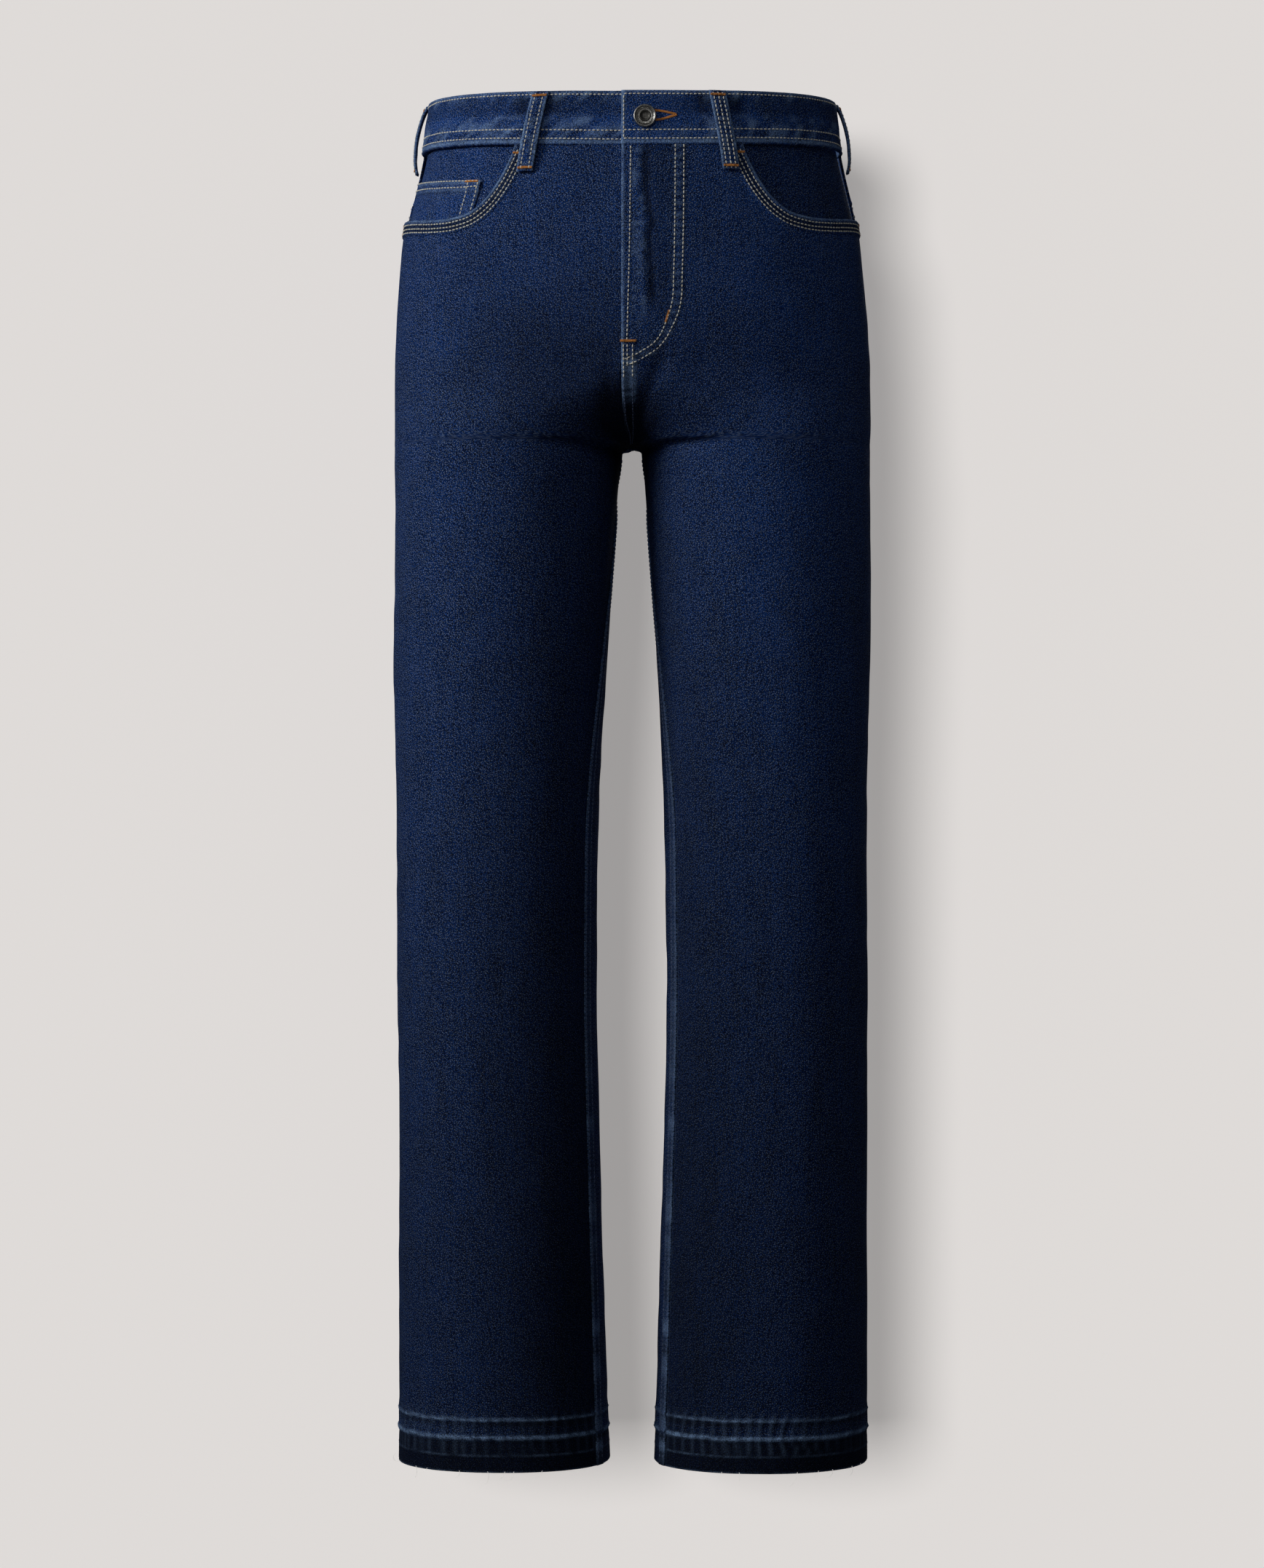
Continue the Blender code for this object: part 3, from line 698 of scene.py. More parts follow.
def back_detail(side):
    """Height and marks of a leg back, whose inner edge is the felled strip of the inseam."""

    def detail(drop, arc):
        inner, outer = back_edges(drop)
        from_inner, from_side = inner - arc, arc - outer
        hem_out, hem_wear, hem_dark = hem_detail(arc, drop, 4 if side > 0 else 6)
        below = smoothstep((drop - CROTCH) / 0.02)
        out = drape(arc, drop, 30 + side) * smoothstep(from_inner / 0.03)
        felled = 1.0 - smoothstep((from_inner - 0.0115) / 0.0015)
        out = out + 0.0009 * felled + 0.0003 * hump(from_inner - 0.0012, 0.001)
        out = out - 0.0006 * hump(from_side, 0.0014) + 0.0004 * hump(from_side - 0.0055, 0.003)
        streak = 0.7 + 0.3 * lumps(arc * 0, drop, 0.007, 14)
        wear = (0.20 * hump(from_inner - 0.001, 0.0012) + 0.10 * felled) * below * streak
        gathered = lumps(arc * 0, drop, 0.008, 15) * felled * smoothstep((drop - 0.55) / 0.4)
        wear = wear + 0.50 * np.maximum(gathered, 0)
        fade = 0.12 * between(drop, 0.05, 0.30, 0.08) + 0.05 * lumps(arc, drop, 0.05, 12)
        from_back = whole_arc(drop) - arc
        seat_fold = distance_from(np.array([(0.0, 0.292), (0.06, 0.300), (0.13, 0.296)]), from_back, drop)
        knee_fold = distance_from(np.array([(0.02, 0.585), (0.09, 0.598), (0.16, 0.580)]), from_back, drop)
        out = out - 0.0018 * hump(seat_fold, 0.014) - 0.0015 * hump(knee_fold, 0.016)
        pucker = 0.9 * hump(from_side, 0.010) + 0.9 * hump(from_inner - 0.006, 0.008) * below
        dark = 0.7 * np.maximum(-gathered, 0) + 0.3 * felled * below
        hem_wear = hem_wear * (1.0 - felled)
        return Detail(out + hem_out, wear + hem_wear, fade, dark + hem_dark, pucker)

    return detail


def no_lap(drop, arc):
    return np.zeros(np.shape(drop))


def plain_detail(height, dark=0.0):
    """Detail of a piece without relief, at a height over the garment's own surface."""
    marks = (height, 0.0, 0.0, dark, 0.0)
    return lambda drop, arc: Detail(*(np.full(np.shape(drop), mark) for mark in marks))


# ---------------------------------------------------------------- making pieces


def surface_points(panel, drop, arc, lift=0.0):
    """Points and outward directions on the outer face of a panel."""
    facing = outwards(drop, arc)
    points = places(drop, arc) + facing * (panel.detail(drop, arc).out + lift)[..., None]
    points[..., 1] -= panel.lap(drop, arc)
    mirror = np.array([panel.side, 1.0, 1.0])
    return points * mirror, facing * mirror


def add_object(name, mesh):
    made = bpy.data.objects.new(name, mesh)
    bpy.context.scene.collection.objects.link(made)
    return made


DENIM_FACES = ("indigo denim twill", "inside of denim twill")  # outer and inner


def sided(stem, side):
    return stem + ("_left" if side > 0 else "_right")


def mesh_of(name, shape, finish=None):
    """The mesh of a finished shape, which is freed."""
    mesh = bpy.data.meshes.new(name)
    shape.to_mesh(mesh)
    shape.free()
    if finish:
        mesh.materials.append(finish_named(finish))
    return mesh


def stand_for(piece, slot_name, *nodes):
    """The piece rides with the garment, and takes the place of its nodes."""
    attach(piece, "root")
    if nodes:
        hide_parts(*nodes)
    return piece


def cloth(name, panel, columns, rows, place, wall=None, finishes=DENIM_FACES):
    """A sheet of cloth: a flat grid laid on the form, and given its wall on the inside.

    place(column, row) gives the drop and arc of each point of the grid.
    """
    grid = bmesh.new()
    bmesh.ops.create_grid(grid, x_segments=len(columns) - 1, y_segments=len(rows) - 1, size=0.5)
    mesh = bpy.data.meshes.new(name)
    grid.to_mesh(mesh)
    grid.free()
    flat = np.empty(len(mesh.vertices) * 3)
    mesh.vertices.foreach_get("co", flat)
    flat = flat.reshape(-1, 3)
    column = np.asarray(columns)[np.rint((flat[:, 0] + 0.5) * (len(columns) - 1)).astype(int)]
    row = np.asarray(rows)[np.rint((0.5 - flat[:, 1]) * (len(rows) - 1)).astype(int)]
    drop, arc = place(column, row)
    points, facing = surface_points(panel, drop, arc)
    mesh.vertices.foreach_set("co", points.ravel())
    corners = np.empty(len(mesh.loops), int)
    mesh.loops.foreach_get("vertex_index", corners)
    laid = mesh.uv_layers.new(name="cloth")
    laid.data.foreach_set("uv", np.stack([arc, -drop], axis=1)[corners].ravel())
    marks = panel.detail(drop, arc)
    for mark in ("wear", "fade", "dark", "pucker"):
        attribute = mesh.attributes.new(mark, "FLOAT", "POINT")
        attribute.data.foreach_set("value", np.clip(getattr(marks, mark), 0.0, 1.0).astype(np.float32))
    mesh.update()
    normals = np.empty(len(mesh.polygons) * 3)
    mesh.polygons.foreach_get("normal", normals)
    first = corners[np.arange(0, len(corners), 4)]
    if (normals.reshape(-1, 3) * facing[first]).sum() < 0:
        mesh.flip_normals()
    for finish in finishes:
        mesh.materials.append(finish_named(finish))
    mesh.shade_smooth()
    made = add_object(name + "_cloth", mesh)
    thickness = made.modifiers.new("wall", "SOLIDIFY")
    thickness.thickness = wall or bpy.context.scene.jeans_sizes.denim
    thickness.offset = -1.0
    thickness.use_quality_normals = True
    thickness.material_offset = len(finishes) - 1
    stand_for(made, "denim", name)
    return made


def spaced(path, panel, lift, pitch):
    """Places at a pitch along a path on a panel: points, headings and outward directions."""
    points, facing = surface_points(panel, path[:, 1], path[:, 0], lift)
    along = np.concatenate([[0.0], np.cumsum(np.linalg.norm(np.diff(points, axis=0), axis=1))])
    stations = np.arange(pitch / 2, along[-1], pitch)
    centres = np.stack([np.interp(stations, along, points[:, i]) for i in range(3)], axis=1)
    ahead = np.stack([np.interp(stations + pitch / 4, along, points[:, i]) for i in range(3)], axis=1)
    behind = np.stack([np.interp(stations - pitch / 4, along, points[:, i]) for i in range(3)], axis=1)
    out = np.stack([np.interp(stations, along, facing[:, i]) for i in range(3)], axis=1)
    return centres, ahead - behind, out


def unit(vectors):
    return vectors / np.linalg.norm(vectors, axis=-1, keepdims=True)


def beads(spots, length, width, turn, jitter):
    """Beads of thread for stitches at spots: (centres, axes). turn is their angle from the row's heading."""
    centres, headings, facing = spots
    out = unit(facing)
    ahead = unit(headings - out * (headings * out).sum(-1, keepdims=True))
    aside = np.cross(out, ahead)
    angle = turn + jitter.uniform(-0.10, 0.10, (len(centres), 1))
    turned_ahead = ahead * np.cos(angle) + aside * np.sin(angle)
    turned_aside = aside * np.cos(angle) - ahead * np.sin(angle)
    lengths = length * jitter.uniform(0.88, 1.08, (len(centres), 1))
    axes = np.stack([turned_aside * width / 2, out * width / 2, turned_ahead * lengths / 2], axis=1)
    return centres, axes


def thread_object(name, rows, finish):
    """One mesh of many stitches: a small sphere for each, stretched along its own axes."""
    centres = np.concatenate([row[0] for row in rows])
    axes = np.concatenate([row[1] for row in rows])
    bead = bmesh.new()
    bmesh.ops.create_uvsphere(bead, u_segments=6, v_segments=4, radius=1.0)
    mesh = bpy.data.meshes.new(name)
    bead.to_mesh(mesh)
    shape = np.array([vert.co for vert in bead.verts])
    bead.clear()
    for _ in centres:
        bead.from_mesh(mesh)
    bead.to_mesh(mesh)
    bead.free()
    mesh.vertices.foreach_set("co", (centres[:, None, :] + shape @ axes).ravel())
    mesh.materials.append(finish_named(finish))
    mesh.shade_smooth()
    mesh.update()
    return stand_for(add_object(name, mesh), "denim")


# ---------------------------------------------------------------- finishes


def add_node(tree, kind, settings=None, inputs=None):
    """Adds a node. settings are its own properties, and each input is a value or the socket that feeds it."""
    made = tree.nodes.new(kind)
    for key, value in (settings or {}).items():
        setattr(made, key, value)
    for key, value in (inputs or {}).items():
        if isinstance(value, bpy.types.NodeSocket):
            tree.links.new(value, made.inputs[key])
        else:
            made.inputs[key].default_value = value
    return made


def new_material(name):
    made = bpy.data.materials.new(name)
    made.use_nodes = True
    return made, made.node_tree, made.node_tree.nodes["Principled BSDF"]


def weave_noise(tree, degrees, across, along, detail=2.0):
    """Noise on the cloth in grains of a size across and along in metres, turned by an angle."""
    laid = add_node(tree, "ShaderNodeUVMap", {"uv_map": "cloth"}).outputs["UV"]
    rotation = (0.0, 0.0, math.radians(degrees))
    turned = add_node(
        tree, "ShaderNodeMapping", {"vector_type": "POINT"}, {"Rotation": rotation, "Vector": laid}
    ).outputs["Vector"]
    scaled = add_node(
        tree, "ShaderNodeMapping", {"vector_type": "POINT"},
        {"Scale": (1 / across, 1 / along, 1.0), "Vector": turned},
    ).outputs["Vector"]
    return add_node(
        tree, "ShaderNodeTexNoise", {"noise_dimensions": "2D"},
        {"Scale": 1.0, "Detail": detail, "Roughness": 0.55, "Vector": scaled},
    ).outputs["Fac"]


def limits(low, high, bottom=0.0, top=1.0):
    """Inputs that map a value's range low..high to bottom..top, held at both ends."""
    return {"From Min": low, "From Max": high, "To Min": bottom, "To Max": top}


def laid_over(tree, under, over, source, low=0.0, high=1.0, most=1.0):
    """One colour laid over another: not at all where the source is low, and at most where it is high."""
    mapped = {"Value": source, **limits(low, high, 0.0, most)}
    share = add_node(tree, "ShaderNodeMapRange", {}, mapped).outputs["Result"]
    return add_node(tree, "ShaderNodeMix", {"data_type": "RGBA"}, {0: share, 6: under, 7: over}).outputs[2]


def sum_of(tree, start, *patterns):
    """Adds patterns to a value. Each is (source, low, high, bottom, top): its low..high adds bottom..top."""
    total = start
    for source, *ends in patterns:
        term = add_node(tree, "ShaderNodeMapRange", {}, {"Value": source, **limits(*ends)}).outputs["Result"]
        total = add_node(tree, "ShaderNodeMath", {"operation": "ADD"}, {0: total, 1: term}).outputs[0]
    return total


def broken_mark(tree, name, source, *ends):
    """A mark of the cloth, broken up by a pattern that is mapped as sum_of maps one."""
    mark = add_node(tree, "ShaderNodeAttribute", {"attribute_name": name}).outputs["Fac"]
    pattern = add_node(tree, "ShaderNodeMapRange", {}, {"Value": source, **limits(*ends)}).outputs["Result"]
    return add_node(tree, "ShaderNodeMath", {"operation": "MULTIPLY"}, {0: mark, 1: pattern}).outputs[0]


def opaque(colour):
    return (*colour, 1.0)


def set_inputs(shader, values):
    for key, value in values.items():
        shader.inputs[key].default_value = value


def denim_material(name, sizes, deep, worn, abraded):
    """Cotton twill, warp dyed with indigo: dull, with paler flecks of weft, uneven yarn and rubbed ridges.

    The ribs of the twill, the flecks and the specks are drawn coarser than real, so that they show.
    """
    made, tree, shader = new_material(name)
    twill = weave_noise(tree, -38, sizes.twill * 0.6, sizes.twill * 2.4)
    flecks = weave_noise(tree, -30, 0.00085, 0.00120)
    specks = weave_noise(tree, -40, 0.00050, 0.00090, 0.0)
    slub = weave_noise(tree, 0, 0.0017, 0.070, 3.0)
    blotches = weave_noise(tree, 0, 0.022, 0.040, 3.0)
    gathers = weave_noise(tree, 0, 0.018, 0.0048, 1.0)
    faded = add_node(tree, "ShaderNodeAttribute", {"attribute_name": "fade"}).outputs["Fac"]
    dark = add_node(tree, "ShaderNodeAttribute", {"attribute_name": "dark"}).outputs["Fac"]
    fade = sum_of(
        tree,
        faded,
        (twill, 0.30, 0.70, -0.12, 0.26),
        (slub, 0.30, 0.70, -0.07, 0.11),
        (blotches, 0.30, 0.70, -0.06, 0.08),
        (flecks, 0.30, 0.66, -0.42, 0.50),
    )
    base = laid_over(tree, opaque(deep), opaque(worn), fade)
    flecked = laid_over(tree, base, opaque(linear("9DB4DA")), specks, 0.66, 0.79, 0.90)
    # The dark mark darkens the colour: for darker dye, and for painted shade where the leg fronts, facings and
    # pockets carry it
    darkened_for_dye_and_shade = laid_over(tree, flecked, opaque(linear("040813")), dark, 0.0, 1.0, 0.88)
    rub = broken_mark(tree, "wear", flecks, 0.30, 0.66, 0.25, 1.70)
    tree.links.new(laid_over(tree, darkened_for_dye_and_shade, opaque(abraded), rub), shader.inputs["Base Color"])
    relief = sum_of(
        tree,
        0.0,
        (twill, 0.2, 0.8, 0.0, 0.16),
        (flecks, 0.2, 0.8, 0.0, 0.10),
        (slub, 0.2, 0.8, 0.0, 0.05),
    )
    puckers = broken_mark(tree, "pucker", gathers, 0.25, 0.75, 0.0, 0.9)
    height = add_node(tree, "ShaderNodeMath", {"operation": "ADD"}, {0: relief, 1: puckers}).outputs[0]
    bump = add_node(tree, "ShaderNodeBump", {}, {"Strength": 0.9, "Distance": 0.001, "Height": height})
    tree.links.new(bump.outputs["Normal"], shader.inputs["Normal"])
    set_inputs(shader, {
        "Roughness": 0.86, "Specular IOR Level": 0.12,
        "Sheen Weight": 0.05, "Sheen Roughness": 0.5, "Sheen Tint": opaque(worn),
    })
    return made


def thread_material(name, colour, glow=0.0):
    """Spun polyester core thread: a soft gleam, and a little lighter and darker from stitch to stitch."""
    made, tree, shader = new_material(name)
    spot = add_node(tree, "ShaderNodeTexCoord").outputs["Object"]
    grain = add_node(tree, "ShaderNodeTexNoise", {}, {"Scale": 260.0, "Detail": 2.0, "Vector": spot})
    darker = tuple(part * 0.90 for part in colour)
    lighter = tuple(min(1.0, part * 1.2 + 0.03) for part in colour)
    mixed = laid_over(tree, opaque(darker), opaque(lighter), grain.outputs["Fac"], 0.32, 0.68)
    tree.links.new(mixed, shader.inputs["Base Color"])
    ply = add_node(tree, "ShaderNodeTexNoise", {}, {"Scale": 2600.0, "Detail": 1.0, "Vector": spot})
    raised = {"Strength": 0.5, "Distance": 0.0002, "Height": ply.outputs["Fac"]}
    tree.links.new(add_node(tree, "ShaderNodeBump", {}, raised).outputs["Normal"], shader.inputs["Normal"])
    set_inputs(shader, {"Roughness": 0.62, "Sheen Weight": 0.15})
    # A glow is painted light: the thread shines by itself
    if glow:
        set_inputs(shader, {"Emission Color": opaque(colour), "Emission Strength": glow})
    return made


def metal_material(name, colour, roughness):
    """Zinc die casting with an antique plating, mottled darker and brighter in small grains."""
    made, tree, shader = new_material(name)
    spot = add_node(tree, "ShaderNodeTexCoord").outputs["Object"]
    noise = {"Scale": 900.0, "Detail": 3.0, "Vector": spot}
    grain = add_node(tree, "ShaderNodeTexNoise", {}, noise).outputs["Fac"]
    darker = tuple(part * 0.35 for part in colour)
    mixed = laid_over(tree, opaque(darker), opaque(colour), grain, 0.35, 0.65)
    tree.links.new(mixed, shader.inputs["Base Color"])
    bump = add_node(tree, "ShaderNodeBump", {}, {"Strength": 0.35, "Distance": 0.0003, "Height": grain})
    tree.links.new(bump.outputs["Normal"], shader.inputs["Normal"])
    set_inputs(shader, {"Metallic": 1.0, "Roughness": roughness})
    return made


def finish_named(name):
    """A finish of the garment, made when it is first asked for."""
    found = bpy.data.materials.get(name)
    if found:
        return found
    sizes, colours = bpy.context.scene.jeans_sizes, bpy.context.scene.jeans_colours
    worn, abraded = tuple(colours.worn), tuple(colours.abraded)
    makers = {
        "indigo denim twill": lambda: denim_material(name, sizes, tuple(colours.indigo), worn, abraded),
        "inside of denim twill": lambda: denim_material(name, sizes, tuple(colours.inside), worn, abraded),
        "topstitching thread": lambda: thread_material(name, tuple(colours.topstitch)),
        "bartack thread": lambda: thread_material(name, tuple(colours.bartack)),
        "seam thread dyed with the denim": lambda: thread_material(name, linear("56688F")),
        # painted light: the loose weft threads glow, so that they show pale against the backdrop
        "loose cotton weft": lambda: thread_material(name, linear("F8F5EE"), glow=0.45),
        "antique plated zinc": lambda: metal_material(name, tuple(colours.metal), 0.34),
        "dark plated zinc": lambda: metal_material(name, linear("6A6864"), 0.42),
    }
    return makers[name]()


# ---------------------------------------------------------------- the pieces


def runs(*parts):
    """Even stations in runs of (start, end, count) that follow each other."""
    return np.concatenate([np.linspace(*part)[min(i, 1) :] for i, part in enumerate(parts)])


def leg_rows():
    """Drops of a leg panel's rows at its side: closest at the stitching, the crotch and the hem."""
    return runs(
        (0.0, 0.115, 62), (0.115, 0.215, 52), (0.215, 0.300, 44), (0.300, 0.970, 130), (0.970, LENGTH, 36)
    )


def front_panel(side):
    return Panel(side, front_detail(side), front_lap(side))


def back_panel(side):
    return Panel(side, back_detail(side), no_lap)


def make_front(side):
    columns = runs((0.0, 0.22, 34), (0.22, 0.38, 12), (0.38, 0.50, 26), (0.50, 0.94, 30), (0.94, 1.0, 12))

    def place(column, row):
        drop = panel_drop(column, row, front_top(side, column))
        start, end = front_edges(side, drop)
        return drop, start + column * (end - start)

    cloth(sided("front", side), front_panel(side), columns, leg_rows(), place)


def make_back(side):
    columns = runs((0.0, 0.09, 20), (0.09, 0.95, 56), (0.95, 1.0, 10))

    def place(column, row):
        drop = panel_drop(column, row, yoke_seam(column) + GAP)
        inner, outer = back_edges(drop)
        return drop, inner + column * (outer - inner)

    cloth(sided("back", side), back_panel(side), columns, leg_rows(), place)


def seam_detail(top_of, bottom_of, fade=0.12, phase=0):
    """Detail of a small flat piece: a gentle swell, worn along its upper and lower edges."""

    def detail(drop, arc):
        top, bottom = top_of(drop, arc), bottom_of(drop, arc)
        grain = 0.7 + 0.3 * lumps(arc, drop, 0.005, phase)
        edge = hump(drop - top - 0.001, 0.0012) + hump(bottom - drop - 0.001, 0.0012)
        out = 0.0004 * lumps(arc, drop, 0.03, phase + 1) + 0.0003 * edge
        faded = fade + 0.05 * lumps(arc, drop, 0.03, phase + 2)
        return Detail(out, 0.25 * edge * grain, faded, 0.0 * out, 0.5 * edge)

    return detail


def yoke_span(side):
    def ends(drop, arc):
        from_back = np.clip((whole_arc(drop) - arc) / (whole_arc(drop) - arc_of(drop, OUTSEAM)), 0.0, 1.0)
        return band_bottom(1.0 - 0.5 * from_back), yoke_seam(from_back)

    return ends


def yoke_panel(side):
    ends = yoke_span(side)
    return Panel(side, seam_detail(lambda d, a: ends(d, a)[0], lambda d, a: ends(d, a)[1], 0.14, 40), no_lap)


def make_yoke(side):
    def place(column, row):
        top = band_bottom(1.0 - 0.5 * column) + GAP
        drop = top + row * (yoke_seam(column) - top)
        start = whole_arc(drop) - GAP / 2
        end = arc_of(drop, OUTSEAM) + GAP / 2
        return drop, start + column * (end - start)

    columns, rows = np.linspace(0, 1, 90), np.linspace(0, 1, 36)
    cloth(sided("yoke", side), yoke_panel(side), columns, rows, place)


def facing_panel(side):
    def detail(drop, arc):
        rub = 0.06 * lumps(arc, drop, 0.012, 50) + 0.04 * lumps(arc, drop, 0.004, 51)
        out = -FACING_DEPTH + 0.0004 * lumps(arc, drop, 0.022, 52)
        along_side = hump(arc - arc_of(drop, OUTSEAM), 0.008)
        # Painted light and shade: the right facing lighter and the left one darker
        fade = (0.10 if side < 0 else 0.02) + rub
        return Detail(out, 0.0 * out, fade, 0.25 * (side > 0) + 0.0 * out, 0.4 + 0.5 * along_side)

    return Panel(side, detail, no_lap)


def make_facing(side):
    def place(column, row):
        end = SIDE_ARC + FACING_TUCK
        arc = FACING_START + column * (end - FACING_START)
        top = band_bottom(share_of(arc)) + GAP
        bottom = scoop_drop(places(HIP, arc)[:, 0]) + FACING_HEM
        drop = top + row * (bottom - top)
        return drop, arc * arc_of(drop, OUTSEAM) / SIDE_ARC

    columns, rows = np.linspace(0, 1, 80), np.linspace(0, 1, 34)
    cloth(sided("pocket_facing", side), facing_panel(side), columns, rows, place)


def coin_spot(column, row):
    """Drop and arc of a place on the coin pocket, from its top inner corner."""
    inner = COIN_POCKET.inner_top + row * (COIN_POCKET.inner_bottom - COIN_POCKET.inner_top)
    ends = [arc_at(COIN_LEVEL, COIN_POCKET.inner_top), arc_at(COIN_LEVEL, COIN_POCKET.inner_bottom)]
    start = np.interp(inner, [COIN_POCKET.inner_top, COIN_POCKET.inner_bottom], ends)
    arc = start + column * (SIDE_ARC + FACING_TUCK / 2 - start)
    top = COIN_POCKET.top_inner + column * (COIN_POCKET.top_outer - COIN_POCKET.top_inner)
    bottom = scoop_drop(places(HIP, arc)[..., 0]) + FACING_HEM / 2
    drop = top + row * (bottom - top)
    return drop, arc * arc_of(drop, OUTSEAM) / SIDE_ARC


def coin_panel():
    start = arc_at(COIN_LEVEL, COIN_POCKET.inner_top)

    def detail(drop, arc):
        column = np.clip((arc - start) / (SIDE_ARC - start), 0.0, 1.0)
        top = COIN_POCKET.top_inner + column * (COIN_POCKET.top_outer - COIN_POCKET.top_inner)
        below = drop - top
        grain = 0.6 + 0.4 * lumps(arc, drop, 0.004, 61)
        hem = 1.0 - smoothstep((below - 0.0068) / 0.0012)
        out = -0.0024 + 0.0006 * hem + 0.0003 * lumps(arc, drop, 0.010, 60)
        wear = (0.42 * hump(below - 0.0012, 0.0016) + 0.30 * hump(below - 0.0072, 0.0010)) * grain
        wear = wear + 0.06 * np.maximum(lumps(arc, drop, 0.006, 62), 0)
        wear = wear + 0.35 * hump(arc - start - 0.001, 0.0012)
        # Painted shadow under the hem's lower edge
        dark = 0.45 * hump(below - 0.0088, 0.0009)
        return Detail(out, wear, 0.10 + 0.1 * grain, dark, 0.5 + 0.0 * out)

    return Panel(-1, detail, no_lap)


def make_coin_pocket():
    columns, rows = np.linspace(0, 1, 60), np.linspace(0, 1, 40)
    cloth("coin_pocket", coin_panel(), columns, rows, coin_spot, COIN_WALL, DENIM_FACES[:1])


def folded_back(station):
    """The station of the left half that one round the band meets when the band is folded at the back."""
    return HALF_WAIST - np.abs(HALF_WAIST - station)


def band_station(station, drop):
    """The arc of a station round the band, which counts from the centre front and goes on past the back."""
    beyond = 2 * whole_arc(drop) - folded_back(station)
    return np.where(station < HALF_WAIST, station * whole_arc(drop) / HALF_WAIST, beyond)


def band_place(station, row):
    share = share_of(folded_back(station))
    top, bottom = band_top(share), band_bottom(share) + BAND_OVER
    drop = top + row * (bottom - top)
    return drop, band_station(station, drop)


def band_detail(drop, arc):
    station = arc * HALF_WAIST / whole_arc(drop)
    folded = folded_back(station)
    share = share_of(folded)
    over = (BAND_WALL + GAP) / 2 * (1.0 - smoothstep((station - 0.002) / 0.050))
    under = (BAND_WALL + GAP) / 2 * (1.0 - smoothstep((folded - 0.008) / 0.040)) + 0.0001
    out = BAND_PROUD + np.where(station < HALF_WAIST, over, -under)
    below_top = drop - band_top(share)
    over_bottom = band_bottom(share) - drop
    for row in (below_top - 0.0027, over_bottom - 0.0028, over_bottom - 0.0092):
        out = out - 0.0003 * hump(row, 0.0009)
    plain_end = between(station, -0.004, 0.050, 0.003)  # the buttoned end is cut across, and wears less
    ripple = lumps(arc + drop * 0.4, drop * 0.35, 0.0055, 70) * (1.0 - 0.6 * plain_end)
    near_rows = hump(below_top - 0.003, 0.004) + hump(over_bottom - 0.006, 0.006)
    out = out + 0.00050 * ripple * near_rows
    out = out - 0.0004 * hump(over_bottom, 0.0007) - 0.0004 * hump(below_top, 0.0008)
    swell = 0.0008 * lumps(arc, drop, 0.016, 71)
    out = out + swell * between(over_bottom, 0.011, 0.030, 0.005) * (1 - plain_end)
    beside_loop = hump(np.abs(folded - 0.066) - 0.012, 0.006) * between(below_top, 0.006, 0.016, 0.004)
    out = out - 0.0006 * beside_loop
    grain = 0.7 + 0.3 * lumps(arc, drop, 0.004, 72)
    wear = 0.40 * hump(below_top - 0.0004, 0.0012) * grain + 0.60 * hump(over_bottom - 0.0006, 0.0012) * grain
    wear = wear + 0.60 * hump(station + FLY_LAP - 0.001, 0.0015) * grain
    wear = wear + 0.40 * near_rows * np.maximum(ripple, 0)
    middle = between(over_bottom, 0.011, 0.017, 0.004)
    wear = wear + 0.32 * middle * np.maximum(lumps(arc, drop, 0.006, 74) + 0.1, 0) * (1.0 - plain_end)
    dark = 0.50 * beside_loop + 0.35 * near_rows * np.maximum(-ripple, 0)
    dark = dark + 0.25 * between(below_top, 0.006, 0.014, 0.004)
    fade = 0.16 + 0.10 * plain_end + 0.08 * middle * (1.0 - plain_end)
    fade = fade + 0.12 * lumps(arc, drop, 0.008, 73) * (1.0 - plain_end)
    return Detail(out, wear, fade, dark, 0.25 + 0.0 * out)


BAND = Panel(1, band_detail, no_lap)


def make_waistband():
    near_end, round_end = 2 * HALF_WAIST - 0.01, 2 * HALF_WAIST + BAND_UNDERLAP
    stations = runs((-FLY_LAP, 0.004, 8), (0.004, near_end, 420), (near_end, round_end, 30))
    rows = runs((0, 0.16, 8), (0.16, 0.70, 16), (0.70, 1, 14))
    cloth("waistband", BAND, stations, rows, band_place, BAND_WALL, DENIM_FACES[:1])


def loop_middle(loop, row, drop):
    """The arc of a belt loop's centre line at a share of its length."""
    ends = []
    for end in (loop.top_place, loop.bottom_place):
        named = {"side": arc_of(drop, 2.0), "back": whole_arc(drop)}
        ends.append(named[end] if isinstance(end, str) else end)
    return ends[0] + row * (ends[1] - ends[0])


def loop_top(loop):
    share = {"side": 0.5, "back": 1.0}.get(loop.top_place)
    return float(band_top(share if share is not None else share_of(loop.top_place))) + 0.0006


